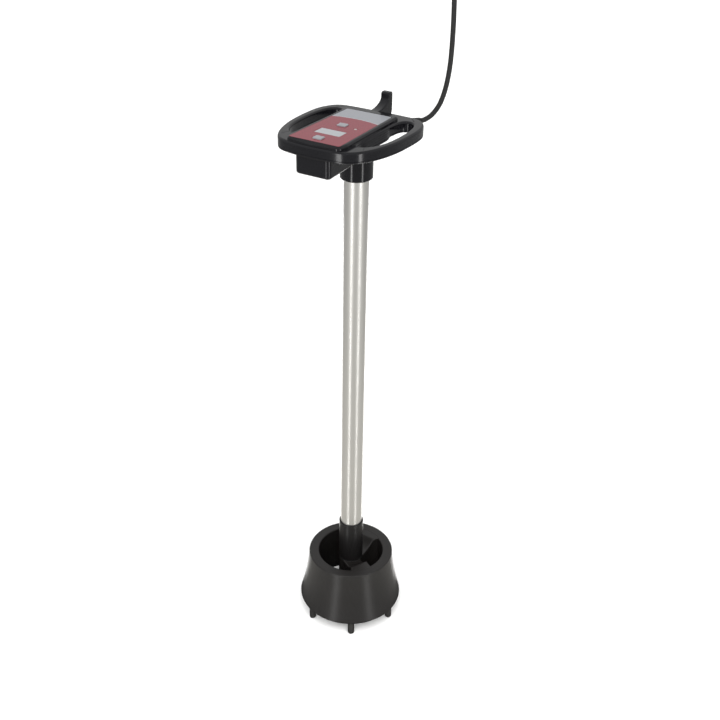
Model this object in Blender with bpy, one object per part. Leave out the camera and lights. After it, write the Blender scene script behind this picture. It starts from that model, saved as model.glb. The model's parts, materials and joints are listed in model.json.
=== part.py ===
"""Immersion liquid heater: a cast bell on six feet, an aluminium tube and a ring-handled control head."""

import math

import bmesh
import bpy
from mathutils import Matrix, Vector

mm = 0.001
gap = 0.3 * mm
bell_segments = 40

# Feet and heating bell
foot_count = 6
foot_circle_radius = 75 * mm
foot_turn = math.radians(2.5)
foot_diameter = 11 * mm
foot_height = 28 * mm
foot_stud_diameter = 5 * mm
foot_stud_length = 11 * mm
bell_height = 93.5 * mm
bell_bottom_radius = 85.5 * mm
bell_rim_radius = 70.4 * mm
bell_mouth_radius = 54 * mm
bell_waist_flare = 0.62
rim_rounding = 2.2 * mm
channel_width = 11 * mm
channel_height = 44 * mm
channel_lean = 4 * mm
channel_radius = 72 * mm
bottom_ring_thickness = 4 * mm
seat_lip = 2 * mm
element_diameter = 8 * mm
element_turns = 2
element_pitch = 9 * mm

# Arms and hub inside the bell
arm_angles = (math.radians(90), math.radians(-30))
arm_tangent_side = 18.5 * mm
arm_short_side = 8 * mm
arm_rim_flare = 10 * mm
arm_shelf = 13 * mm
arm_depth = 80 * mm
passage_lean = math.radians(5)
passage_width = 12.4 * mm
passage_rise = 10.4 * mm
hub_diameter = 40 * mm
hub_top_drop = 13 * mm
hub_depth = 72 * mm
hub_bore_diameter = 31 * mm
cap_thickness = 4 * mm
cap_wall = 1.8 * mm
probe_diameter = 6 * mm

# Tube, sleeve and collar
tube_diameter = 35 * mm
tube_wall = 2 * mm
tube_bottom_z = 76 * mm
sleeve_diameter = 40 * mm
sleeve_top_z = 185.5 * mm
seal_thickness = 2 * mm
collar_diameter = 46 * mm
collar_bottom_z = 787 * mm
collar_rounding = 1.5 * mm
lead_bundle_diameter = 11 * mm

# Control head
box_bottom_z = 823 * mm
ring_bottom_z = 848.5 * mm
ring_height = 15.1 * mm
ring_rounding = 4.5 * mm
panel_rise = 5.6 * mm
base_plate = 2.6 * mm
shell_wall = 2.5 * mm
head_half_width = 84.5 * mm
head_front = 115 * mm
head_rear = 63 * mm
opening_inner_x = 43.5 * mm
opening_outer_x = 73 * mm
opening_front_y = -80 * mm
opening_rear_y = 42 * mm
box_half_width = 26.5 * mm
box_front = 112 * mm
label_front_half_width = 38 * mm
label_rear_half_width = 34.6 * mm
label_front_y = -107 * mm
label_rear_y = 32 * mm
label_thickness = 0.4 * mm
panel_border = 6 * mm
panel_rear_y = 43 * mm

# Keys and display
key_size = (13 * mm, 10.5 * mm)
key_centres = {"front_key": (-1 * mm, -93.5 * mm), "rear_key": (-2 * mm, -34 * mm)}
key_rise = 1.6 * mm
key_travel = 0.8 * mm
key_flange = 1.6 * mm
key_flange_thickness = 1 * mm
window_size = (38 * mm, 19 * mm)
window_centre = (-1 * mm, -65.5 * mm)
window_thickness = 1.2 * mm
display_depth = 5 * mm
indicator_diameter = 5 * mm
indicator_centre = (20 * mm, -38 * mm)
board_thickness = 1.6 * mm
board_half_width = 32 * mm
board_front_y = -101 * mm
board_rear_y = -24 * mm
board_drop = 7.5 * mm
gasket_thickness = 0.9 * mm
screw_diameter = 3 * mm
screw_head_diameter = 5.6 * mm
screw_reach = 8 * mm
screw_sink = 1.5 * mm
boss_diameter = 8 * mm

# Hanging hook
hook_width = 13 * mm
hook_thickness = 9 * mm
hook_rear_y = 84 * mm
hook_tip_rise = 18 * mm
hook_foot_rise = 5 * mm

# Mains lead
cord_diameter = 7 * mm
gland_length = 18 * mm
gland_position = (45.5 * mm, 857.2 * mm)
gland_tilt = math.radians(-14)
gland_base_diameter = 8.6 * mm
gland_tip_diameter = 8.2 * mm
gland_neck = 5 * mm
gland_wall_depth = 9 * mm
plug_diameter = 36 * mm
plug_length = 44 * mm
plug_pin_diameter = 4.8 * mm
plug_pin_length = 19 * mm
plug_pin_spacing = 19 * mm
cord_route = (
    (55.5, 91.5, 854.5),
    (58.3, 101.0, 857.2),
    (60.8, 110.5, 863.0),
    (62.9, 118.5, 871.0),
    (64.6, 124.8, 882.5),
    (65.9, 129.6, 896.5),
    (66.8, 132.9, 912.0),
    (67.4, 135.0, 930.0),
    (67.6, 136.0, 955.0),
    (67.5, 135.8, 985.0),
    (67.1, 134.5, 1016.0),
)

# Heights that follow from the sizes above
bell_top_z = foot_height + bell_height
hub_top_z = bell_top_z - hub_top_drop
hub_bottom_z = hub_top_z - hub_depth
ring_top_z = ring_bottom_z + ring_height
panel_top_z = ring_top_z + panel_rise
plate_top_z = ring_bottom_z + base_plate
roof_z = panel_top_z - shell_wall
board_z = roof_z - board_drop
centre_shift = (head_front - max(hook_rear_y, bell_bottom_radius)) / 2


def material(name, colour, roughness, metallic=0.0):
    """A Principled material with one plain colour."""
    made = bpy.data.materials.new(name)
    made.use_nodes = True
    shader = made.node_tree.nodes["Principled BSDF"]
    shader.inputs["Base Color"].default_value = (*colour, 1.0)
    shader.inputs["Roughness"].default_value = roughness
    shader.inputs["Metallic"].default_value = metallic
    made.diffuse_color = (*colour, 1.0)
    return made


def clear_scene():
    for old in list(bpy.data.objects):
        bpy.data.objects.remove(old)


def add_object(name, mesh_data, finish, smooth=True):
    """Put a bmesh in the scene as a named object that hangs from the root empty."""
    bmesh.ops.recalc_face_normals(mesh_data, faces=mesh_data.faces)
    mesh = bpy.data.meshes.new(name)
    mesh_data.to_mesh(mesh)
    mesh_data.free()
    if smooth:
        mesh.shade_smooth()
        mesh.set_sharp_from_angle(angle=math.radians(35))
    made = bpy.data.objects.new(name, mesh)
    bpy.context.scene.collection.objects.link(made)
    made.data.materials.append(finish)
    made.parent = root
    return made


def combine(target, tool, operation="DIFFERENCE"):
    """Cut the tool out of the target, or join the two, and remove the tool."""
    cut = target.modifiers.new("combine", "BOOLEAN")
    cut.operation = operation
    cut.object = tool
    bpy.context.view_layer.update()
    graph = bpy.context.evaluated_depsgraph_get()
    result = bpy.data.meshes.new_from_object(target.evaluated_get(graph))
    target.modifiers.remove(cut)
    old = target.data
    target.data = result
    bpy.data.meshes.remove(old)
    bpy.data.objects.remove(tool)


def turned_mesh(profile, segments=48):
    """Spin a closed loop of (radius, height) points about Z."""
    made = bmesh.new()
    points = [made.verts.new((radius, 0, height)) for radius, height in profile]
    edges = [
        made.edges.new((points[i - 1], points[i]))
        for i in range(len(points))
        if profile[i - 1][0] > 0 or profile[i][0] > 0
    ]
    bmesh.ops.spin(
        made,
        geom=points + edges,
        cent=(0, 0, 0),
        axis=(0, 0, 1),
        angle=2 * math.pi,
        steps=segments,
        use_merge=True,
    )
    bmesh.ops.remove_doubles(made, verts=made.verts, dist=1e-6)
    bmesh.ops.dissolve_degenerate(made, dist=1e-7, edges=made.edges)
    return made


def turned(name, profile, finish, segments=48):
    return add_object(name, turned_mesh(profile, segments), finish)


def placed(mesh_data, position=(0, 0, 0), turn=None):
    """Turn and move a bmesh."""
    if turn is not None:
        bmesh.ops.transform(mesh_data, matrix=turn, verts=mesh_data.verts)
    bmesh.ops.translate(mesh_data, vec=position, verts=mesh_data.verts)
    return mesh_data


def rod_mesh(radius, low, high, segments=24, position=(0, 0)):
    made = bmesh.new()
    bmesh.ops.create_cone(
        made,
        cap_ends=True,
        segments=segments,
        radius1=radius,
        radius2=radius,
        depth=high - low,
    )
    return placed(made, (position[0], position[1], (low + high) / 2))


def rod(name, radius, low, high, finish, segments=24, position=(0, 0)):
    return add_object(name, rod_mesh(radius, low, high, segments, position), finish)


def block_mesh(size, centre, rounding=0.0):
    """A box with its upright edges rounded."""
    made = bmesh.new()
    bmesh.ops.create_cube(made, size=1.0)
    bmesh.ops.scale(made, vec=size, verts=made.verts)
    if rounding:
        upright = [
            edge
            for edge in made.edges
            if abs(edge.verts[0].co.z - edge.verts[1].co.z) > size[2] / 2
        ]
        bmesh.ops.bevel(made, geom=upright, offset=rounding, segments=3, affect="EDGES", profile=0.5)
    return placed(made, centre)


def block(name, size, centre, finish, rounding=0.0):
    return add_object(name, block_mesh(size, centre, rounding), finish, smooth=bool(rounding))


def smooth_loop(points, steps=4):
    """A closed Catmull-Rom curve through hand-chosen points."""
    count = len(points)
    curve = []
    for i in range(count):
        before, start, end, after = (Vector(points[(i + k) % count]) for k in (-1, 0, 1, 2))
        for step in range(steps):
            t = step / steps
            curve.append(
                0.5
                * (
                    2 * start
                    + (end - before) * t
                    + (2 * before - 5 * start + 4 * end - after) * t * t
                    + (3 * start - before - 3 * end + after) * t**3
                )
            )
    return curve


def mirrored_loop(right_half):
    """Points of the right half, front to rear, and their mirror images from rear to front."""
    left_half = [(-x, y) for x, y in reversed(right_half) if x > 1e-6]
    return list(right_half) + left_half


def inset_loop(outline, distance):
    """Move each point of a counter-clockwise outline inwards along its normal."""
    moved = []
    for i, point in enumerate(outline):
        along = (outline[(i + 1) % len(outline)] - outline[i - 1]).normalized()
        moved.append(point + distance * Vector((-along.y, along.x)))
    return moved


def layered_mesh(outline, layers):
    """A solid whose outline is inset by the stated distance at each stated height."""
    made = bmesh.new()
    rings = []
    for inset, height in layers:
        loop = inset_loop(outline, inset)
        rings.append([made.verts.new((point.x, point.y, height)) for point in loop])
    for lower, upper in zip(rings, rings[1:]):
        for i in range(len(outline)):
            made.faces.new((lower[i - 1], lower[i], upper[i], upper[i - 1]))
    made.faces.new(reversed(rings[0]))
    made.faces.new(rings[-1])
    return made


def layered(name, outline, layers, finish):
    return add_object(name, layered_mesh(outline, layers), finish)


def rounded_top(low, high, radius, steps=3, foot=0.0):
    """Layers of an upright wall whose top edge is rounded, with an optional rounded foot."""
    layers = []
    if foot:
        layers += [(foot, low), (0.3 * foot, low + 0.3 * foot), (0.0, low + foot)]
    else:
        layers += [(0.0, low)]
    for step in range(steps + 1):
        turn = math.pi / 2 * step / steps
        layers.append((radius * (1 - math.cos(turn)), high - radius + radius * math.sin(turn)))
    return layers


# Outlines of the head, seen from above


def head_outline():
    """The outer edge of the ring handle and of the housing behind it."""
    side = head_half_width
    right = [
        (0, -head_front),
        (0.47 * side, -0.965 * head_front),
        (0.69 * side, -0.88 * head_front),
        (0.865 * side, -0.67 * head_front),
        (0.97 * side, -0.375 * head_front),
        (side, -0.045 * head_front),
        (0.98 * side, 0.43 * head_rear),
        (0.875 * side, 0.78 * head_rear),
        (0.71 * side, 0.955 * head_rear),
        (0.39 * side, head_rear),
        (0, head_rear),
    ]
    return smooth_loop(mirrored_loop(right), 3)


def grip_outline(side):
    """The edge of one grip opening; side is 1 on the right and -1 on the left."""
    width = opening_outer_x - opening_inner_x
    length = opening_rear_y - opening_front_y
    shares = (
        (0.18, 0.01),
        (0.61, 0.08),
        (0.89, 0.25),
        (1.00, 0.51),
        (0.95, 0.77),
        (0.77, 0.94),
        (0.40, 1.00),
        (0.10, 0.93),
        (0.00, 0.70),
        (-0.01, 0.33),
        (0.02, 0.08),
    )
    points = [
        (side * (opening_inner_x + width * across), opening_front_y + length * along)
        for across, along in shares
    ]
    if side < 0:
        points.reverse()
    return smooth_loop(points, 3)


def corner_loop(corners, radius, steps=4):
    """A counter-clockwise polygon with every corner rounded by an arc."""
    made = []
    for i, corner in enumerate(corners):
        corner = Vector(corner)
        to_last = (Vector(corners[i - 1]) - corner).normalized()
        to_next = (Vector(corners[(i + 1) % len(corners)]) - corner).normalized()
        half_angle = to_last.angle(to_next) / 2
        centre = corner + (to_last + to_next).normalized() * radius / math.sin(half_angle)
        reach = radius / math.tan(half_angle)
        start = corner + to_last * reach - centre
        end = corner + to_next * reach - centre
        turn = start.angle(end)
        for step in range(steps + 1):
            made.append(centre + Matrix.Rotation(turn * step / steps, 2) @ start)
    return made


def label_outline(margin=0.0, radius=3 * mm):
    front = label_front_y - margin
    rear = label_rear_y + margin
    wide = label_front_half_width + margin
    narrow = label_rear_half_width + margin
    corners = [(-wide, front), (wide, front), (narrow, rear), (-narrow, rear)]
    return corner_loop(corners, radius)


def panel_outline():
    """The foot of the raised panel that carries the label."""
    front = -(head_front - 3 * mm)
    wide = label_front_half_width + panel_border
    narrow = label_rear_half_width + panel_border
    corners = [
        (-0.9 * wide, front + 2.2 * mm),
        (0, front - 0.4 * mm),
        (0.9 * wide, front + 2.2 * mm),
        (wide, label_front_y + 14 * mm),
        (narrow, panel_rear_y - 2 * mm),
        (0, panel_rear_y + 2 * mm),
        (-narrow, panel_rear_y - 2 * mm),
        (-wide, label_front_y + 14 * mm),
    ]
    return corner_loop(corners, 7 * mm)


def box_outline(inset=0.0):
    """The electronics box under the front of the head, narrowing to the collar behind."""
    front = -box_front + inset
    wide = box_half_width - inset
    narrow = wide - 5 * mm
    rear = -4 * mm - inset
    return corner_loop([(-wide, front), (wide, front), (narrow, rear), (-narrow, rear)], 6 * mm)


# Heating bell


def bell_outer_radius(height_share):
    """Outer radius of the bell at a share of its height: upright at the rim and flaring to the foot."""
    fall = 1 - height_share
    flare = bell_waist_flare * fall**2 + (1 - bell_waist_flare) * fall
    return bell_rim_radius + (bell_bottom_radius - bell_rim_radius) * flare


def bell_profile():
    outer = []
    steps = 7
    for step in range(steps + 1):
        share = step / steps
        height = foot_height + share * (bell_height - rim_rounding)
        outer.append((bell_outer_radius(share), height))
    outer[0] = (bell_bottom_radius - 1.5 * mm, foot_height)
    outer.insert(1, (bell_bottom_radius, foot_height + 2.5 * mm))
    top = [
        (bell_rim_radius - 0.35 * rim_rounding, bell_top_z - 0.35 * rim_rounding),
        (bell_rim_radius - rim_rounding, bell_top_z),
        (bell_mouth_radius + rim_rounding, bell_top_z),
        (bell_mouth_radius + 0.3 * rim_rounding, bell_top_z - 0.3 * rim_rounding),
    ]
    inner = [
        (bell_mouth_radius, bell_top_z - rim_rounding),
        (bell_mouth_radius, bell_top_z - 0.35 * bell_height),
        (channel_radius - channel_width / 2 - 3.5 * mm, foot_height),
    ]
    return outer + top + inner


def arm_mesh(angle):
    """One arm from hub to rim: a tangent side, a short side, and a top that falls from rim to hub."""
    made = bmesh.new()
    along = Vector((math.cos(angle), math.sin(angle), 0))
    across = Vector((-along.y, along.x, 0))
    start = hub_diameter / 2 - 16 * mm
    end = bell_mouth_radius + 8 * mm
    shelf = bell_mouth_radius - arm_shelf
    flare_end = bell_mouth_radius - 4 * mm
    shoulder = hub_diameter / 2 + 0.8 * mm
    bottom = bell_top_z - arm_depth
    edge = 2 * mm
    steps = 10
    sections = []
    for step in range(steps + 1):
        reach = start + (end - start) * step / steps
        fall = min(1.0, max(0.0, (shelf - reach) / (shelf - shoulder)))
        drop = (hub_top_drop - 0.1 * mm) * (1 - (1 - fall) ** 1.8)
        top = bell_top_z - 0.05 * mm - drop
        near_rim = min(1.0, max(0.0, (reach - shoulder) / (flare_end - shoulder)))
        tangent = along * reach - across * (arm_tangent_side + arm_rim_flare * near_rim**3)
        short = along * reach + across * arm_short_side
        corners = [
            (tangent, bottom),
            (short, bottom),
            (short, top - edge),
            (short - across * edge, top),
            (tangent + across * edge, top),
            (tangent, top - edge),
        ]
        sections.append([made.verts.new((*place.xy, height)) for place, height in corners])
    for first, second in zip(sections, sections[1:]):
        for i in range(len(first)):
            made.faces.new((first[i - 1], first[i], second[i], second[i - 1]))
    made.faces.new(reversed(sections[0]))
    made.faces.new(sections[-1])
    return made


def channel_profile():
    """Element channel in the bell's wall, open below, with a wider seat for the bottom ring."""
    low = foot_height - mm
    seat = foot_height + bottom_ring_thickness
    high = seat + channel_height
    inner = channel_radius - channel_width / 2
    outer = channel_radius + channel_width / 2
    return [
        (inner - seat_lip, low),
        (outer + seat_lip, low),
        (outer + seat_lip, seat),
        (outer, seat),
        (outer - channel_lean, high),
        (inner - channel_lean, high),
        (inner, seat),
        (inner - seat_lip, seat),
    ]


def hub_bore_profile():
    """Stepped bore of the hub: a pocket for the cap, the terminal space and the tube's seat."""
    pocket = hub_diameter / 2 - cap_wall
    pocket_top = hub_bottom_z + cap_thickness + seal_thickness + 3 * gap
    seat = tube_diameter / 2 + gap
    space = hub_bore_diameter / 2
    return [
        (0, hub_bottom_z - mm),
        (pocket, hub_bottom_z - mm),
        (pocket, pocket_top),
        (space, pocket_top),
        (space, tube_bottom_z - gap),
        (seat, tube_bottom_z - gap),
        (seat, hub_top_z + mm),
        (0, hub_top_z + mm),
    ]


def add_heater_body():
    body = turned("heater_body", bell_profile(), cast_metal, bell_segments)
    for angle in arm_angles:
        combine(body, add_object("arm", arm_mesh(angle), cast_metal), "UNION")
    hub = rod("hub", hub_diameter / 2, hub_bottom_z, hub_top_z, cast_metal, 40)
    combine(body, hub, "UNION")
    combine(body, turned("bore", hub_bore_profile(), cast_metal, 40))
    combine(body, turned("channel", channel_profile(), cast_metal, bell_segments))
    cut_passages(body)
    drill_foot_sockets(body)


def cut_passages(body):
    """The rear arm carries the element's two cold ends and the front arm carries the probe."""
    start = hub_bore_diameter / 2 - 2 * mm
    element_rise = element_pitch * element_turns + passage_rise
    probe_width = probe_diameter + 2 * gap
    sizes = (
        (channel_radius, passage_width, element_rise),
        (bell_mouth_radius + 6 * mm, probe_width, probe_width),
    )
    for arm, (end, width, rise) in enumerate(sizes):
        centre = ((start + end) / 2, 0, passage_z())
        passage = block_mesh((end - start, width, rise), centre)
        turn = Matrix.Rotation(passage_angle(arm), 4, "Z")
        combine(body, add_object("passage", placed(passage, turn=turn), cast_metal, smooth=False))


def passage_angle(arm):
    """Direction of the passage in one arm, leaning towards the middle of the arm's width."""
    return arm_angles[arm] - passage_lean


def passage_z():
    """Middle height of the cold ends, half way up the element channel."""
    return foot_height + bottom_ring_thickness + channel_height * 0.6


def element_radius(height):
    """Radius of the element's centre line, which follows the lean of its channel."""
    share = (height - foot_height - bottom_ring_thickness) / channel_height
    return channel_radius - channel_lean * share


def add_element():
    """Tubular element: a helix in the bell's wall whose two cold ends run through the rear arm."""
    angle = passage_angle(0)
    start_z = passage_z() - element_pitch * element_turns / 2
    end_z = start_z + element_pitch * element_turns
    inner_end = hub_bore_diameter / 2 + 4 * mm
    bend = 4 * mm
    side_step = math.radians(3)
    points = [
        (inner_end, angle, start_z),
        (element_radius(start_z) - bend, angle, start_z),
        (element_radius(start_z) - bend / 8, angle + side_step, start_z),
    ]
    steps = 18 * element_turns
    for step in range(1, steps):
        height = start_z + (end_z - start_z) * step / steps
        turn = angle + 2 * math.pi * element_turns * step / steps
        points.append((element_radius(height), turn, height))
    points += [
        (element_radius(end_z) - bend / 8, angle - side_step, end_z),
        (element_radius(end_z) - bend, angle, end_z),
        (inner_end, angle, end_z),
    ]
    route = [(r * math.cos(a), r * math.sin(a), z) for r, a, z in points]
    return swept("heating_element", route, element_diameter / 2, steel, resolution=2)


def swept(name, route, radius, finish, resolution=2):
    """A round bar along a list of points, as a curve with a bevel and closed ends."""
    curve = bpy.data.curves.new(name, "CURVE")
    curve.dimensions = "3D"
    curve.bevel_depth = radius
    curve.bevel_resolution = resolution
    curve.use_fill_caps = True
    spline = curve.splines.new("POLY")
    spline.points.add(len(route) - 1)
    for point, place in zip(spline.points, route):
        point.co = (*place, 1.0)
    made = bpy.data.objects.new(name, curve)
    bpy.context.scene.collection.objects.link(made)
    made.data.materials.append(finish)
    made.parent = root
    return made


def add_bottom_ring():
    inner = channel_radius - channel_width / 2 - seat_lip + gap
    outer = channel_radius + channel_width / 2 + seat_lip - gap
    low = foot_height
    high = foot_height + bottom_ring_thickness - gap
    profile = [(inner, low), (outer, low), (outer, high), (inner, high)]
    ring = turned("bottom_ring", profile, cast_metal, bell_segments)
    for angle in foot_angles():
        centre = polar(foot_circle_radius, angle)
        hole = foot_stud_diameter / 2 + gap
        combine(ring, rod("hole", hole, low - mm, high + mm, cast_metal, 12, centre))


def foot_angles():
    return [foot_turn + 2 * math.pi * index / foot_count for index in range(foot_count)]


def polar(radius, angle):
    return radius * math.cos(angle), radius * math.sin(angle)


def add_feet():
    """Six round pins with domed tips; a thinner stud holds each one through the bottom ring."""
    radius = foot_diameter / 2
    stud = foot_stud_diameter / 2
    shoulder = foot_height - gap
    stud_top = foot_height + foot_stud_length
    profile = [
        (0, 0),
        (0.45 * radius, 0),
        (0.8 * radius, 0.2 * radius),
        (radius - 0.6 * mm, 0.75 * radius),
        (radius, shoulder),
        (stud, shoulder),
        (stud, stud_top),
        (0, stud_top),
    ]
    for number, angle in enumerate(foot_angles(), 1):
        mesh_data = placed(turned_mesh(profile, 12), (*polar(foot_circle_radius, angle), 0))
        add_object(f"foot_{number}", mesh_data, foot_black)


def drill_foot_sockets(body):
    stud = foot_stud_diameter / 2 + gap
    for angle in foot_angles():
        centre = polar(foot_circle_radius, angle)
        top = foot_height + foot_stud_length + gap
        combine(body, rod("socket", stud, foot_height - mm, top, cast_metal, 12, centre))


def add_hub_parts():
    cap_radius = hub_diameter / 2 - cap_wall - gap
    cap_low = hub_bottom_z + gap
    cap_high = cap_low + cap_thickness
    cap = rod("hub_cap", cap_radius, cap_low, cap_high, cast_metal, 40)
    slot = block_mesh((18 * mm, 3 * mm, 3 * mm), (0, 0, cap_low))
    combine(cap, add_object("slot", slot, cast_metal))
    seal_low = cap_high + gap
    seal_high = seal_low + seal_thickness
    inner = hub_bore_diameter / 2 - 2 * mm
    seal = [(inner, seal_low), (cap_radius, seal_low), (cap_radius, seal_high), (inner, seal_high)]
    turned("hub_cap_seal", seal, rubber, 24)
    angle = passage_angle(1)
    length = bell_mouth_radius - hub_diameter / 2 + 2 * mm
    probe = rod_mesh(probe_diameter / 2, 0, length, 16)
    turn = Matrix.Rotation(angle, 4, "Z") @ Matrix.Rotation(math.pi / 2, 4, "Y")
    start = tube_diameter / 2 + 2.5 * mm
    place = (*polar(start, angle), passage_z())
    add_object("temperature_probe", placed(probe, place, turn), steel)


# Tube group


def add_tube_group():
    outer = tube_diameter / 2
    inner = outer - tube_wall
    top = plate_top_z - gap
    wall = [(inner, tube_bottom_z), (outer, tube_bottom_z), (outer, top), (inner, top)]
    turned("tube", wall, aluminium, 40)
    bore = outer + gap
    sleeve_outer = sleeve_diameter / 2
    seal_low = hub_top_z + gap
    seal_high = seal_low + seal_thickness
    edge = sleeve_outer - 0.4 * mm
    seal = [(bore, seal_low), (edge, seal_low), (edge, seal_high), (bore, seal_high)]
    turned("sleeve_seal", seal, rubber, 24)
    low = seal_high + gap
    high = sleeve_top_z
    turned(
        "lower_sleeve",
        [
            (bore, low),
            (sleeve_outer, low),
            (sleeve_outer, high - 1 * mm),
            (sleeve_outer - 0.8 * mm, high),
            (bore, high),
        ],
        black_plastic,
        40,
    )
    turned("thermal_cutout", cutout_profile(), steel, 24)
    lead_low = cutout_top() + gap
    lead_top = plate_top_z + 2 * mm
    rod("lead_bundle", lead_bundle_diameter / 2, lead_low, lead_top, heat_sleeve, 16)


def cutout_profile():
    low = hub_bottom_z + cap_thickness + seal_thickness + 2 * mm
    can = 7.5 * mm
    return [
        (0, low),
        (can, low),
        (can, low + 7 * mm),
        (can - 2 * mm, low + 8 * mm),
        (can - 2 * mm, low + 13 * mm),
        (0, low + 13 * mm),
    ]


def cutout_top():
    return cutout_profile()[-1][1]


def add_collar():
    bore = tube_diameter / 2 + gap
    outer = collar_diameter / 2
    low = collar_bottom_z
    high = box_bottom_z - gap
    seal = bore + 2 * mm
    collar = turned(
        "collar",
        [
            (bore, low),
            (outer - collar_rounding, low),
            (outer - 0.3 * collar_rounding, low + 0.3 * collar_rounding),
            (outer, low + collar_rounding),
            (outer, high),
            (seal, high),
            (seal, high - seal_thickness - gap),
            (bore, high - seal_thickness - gap),
        ],
        black_plastic,
        40,
    )
    middle = (low + high) / 2
    hole = rod_mesh(2 * mm + gap, 0, collar_diameter, 16)
    hole = placed(hole, (0, outer - 6 * mm, middle), Matrix.Rotation(-math.pi / 2, 4, "X"))
    combine(collar, add_object("screw_hole", hole, black_plastic))
    length = outer - bore - 1 * mm
    grub = rod_mesh(2 * mm, 0, length, 16)
    place = (0, bore + 0.2 * mm, middle)
    add_object("collar_screw", placed(grub, place, Matrix.Rotation(-math.pi / 2, 4, "X")), steel)
    turned(
        "collar_seal",
        [
            (bore, high - seal_thickness),
            (seal - gap, high - seal_thickness),
            (seal - gap, high - gap),
            (bore, high - gap),
        ],
        rubber,
        24,
    )


# Control head


def screw_places():
    """Shell screws: two at the front, two beside the box and two at the rear."""
    return (
        (-43 * mm, -95 * mm),
        (43 * mm, -95 * mm),
        (-37 * mm, -46 * mm),
        (37 * mm, -46 * mm),
        (-28 * mm, 52 * mm),
        (28 * mm, 52 * mm),
    )


def board_screw_places():
    across = board_half_width - 4 * mm
    return [
        (side * across, end)
        for side in (-1, 1)
        for end in (board_front_y + 4 * mm, board_rear_y - 4 * mm)
    ]


def add_upper_shell():
    outline = head_outline()
    top_layers = rounded_top(plate_top_z + gap, ring_top_z, ring_rounding)
    shell = layered("upper_shell", outline, top_layers, gloss_black)
    panel_layers = [
        (0, ring_top_z - 3 * mm),
        (0.4 * mm, ring_top_z + 0.5 * mm),
        (1.6 * mm, panel_top_z - 1.8 * mm),
        (2.6 * mm, panel_top_z - 0.5 * mm),
        (3.6 * mm, panel_top_z),
    ]
    combine(shell, layered("panel", panel_outline(), panel_layers, gloss_black), "UNION")
    cut_layers = [
        (0, plate_top_z - mm),
        (0, ring_top_z - 3.5 * mm),
        (-0.6 * mm, ring_top_z - 1.6 * mm),
        (-2 * mm, ring_top_z - 0.4 * mm),
        (-3.2 * mm, ring_top_z + 0.05 * mm),
        (-4.5 * mm, panel_top_z + mm),
    ]
    for side in (-1, 1):
        combine(shell, layered("grip", grip_outline(side), cut_layers, gloss_black))
    combine(shell, shell_cavity())
    combine(shell, panel_cavity())
    add_bosses(shell)
    recess_low = panel_top_z - label_thickness
    recess = layered("recess", label_outline(gap), [(0, recess_low), (0, panel_top_z + mm)], gloss_black)
    combine(shell, recess)
    cut_panel_holes(shell)
    combine(shell, gland_cutter())
    return shell


def shell_cavity():
    """The hollow of the ring and of the housing: everything one wall inside the outline and the grips."""
    outline = head_outline()
    low = plate_top_z - mm
    high = ring_top_z - shell_wall - 0.8 * mm
    layers = [(shell_wall, low), (shell_wall, high - 2 * mm), (shell_wall + 2 * mm, high)]
    cavity = layered("cavity", outline, layers, gloss_black)
    for side in (-1, 1):
        wall = [(-shell_wall, low - mm), (-shell_wall - 1 * mm, high + mm)]
        combine(cavity, layered("grip_wall", grip_outline(side), wall, gloss_black))
    return cavity


def panel_cavity():
    """The hollow under the raised panel, up to its roof."""
    outline = label_outline(-1.5 * mm)
    return layered("panel_cavity", outline, [(0, ring_top_z - 6 * mm), (0, roof_z)], gloss_black)


def add_bosses(shell):
    for place in screw_places():
        boss_top = ring_top_z - 1.5 * mm
        boss = rod("boss", boss_diameter / 2, plate_top_z + gap, boss_top, gloss_black, 10, place)
        combine(shell, boss, "UNION")
        pilot = screw_diameter / 2 + gap
        pilot_top = plate_top_z + screw_reach + mm
        combine(shell, rod("pilot", pilot, plate_top_z - mm, pilot_top, gloss_black, 10, place))
    for place in board_screw_places():
        low = board_z + board_thickness + gap
        boss = rod("boss", 3 * mm, low, roof_z + 0.5 * mm, gloss_black, 10, place)
        combine(shell, boss, "UNION")
        combine(shell, rod("pilot", 1 * mm + gap, low - mm, roof_z - 0.5 * mm, gloss_black, 10, place))


def cut_panel_holes(target, clearance=gap):
    """Openings for the keys, the display window and the indicator."""
    low = roof_z - mm
    high = panel_top_z + mm
    middle = (low + high) / 2
    for x, y in key_centres.values():
        size = (key_size[0] + 2 * clearance, key_size[1] + 2 * clearance, high - low)
        hole = block_mesh(size, (x, y, middle), 1.2 * mm)
        combine(target, add_object("key_hole", hole, gloss_black))
    size = (window_size[0] + 2 * clearance, window_size[1] + 2 * clearance, high - low)
    window = block_mesh(size, (*window_centre, middle), 1.2 * mm)
    combine(target, add_object("window_hole", window, gloss_black))
    radius = indicator_diameter / 2 + clearance
    combine(target, rod("lamp_hole", radius, low, high, gloss_black, 16, indicator_centre))


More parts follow.
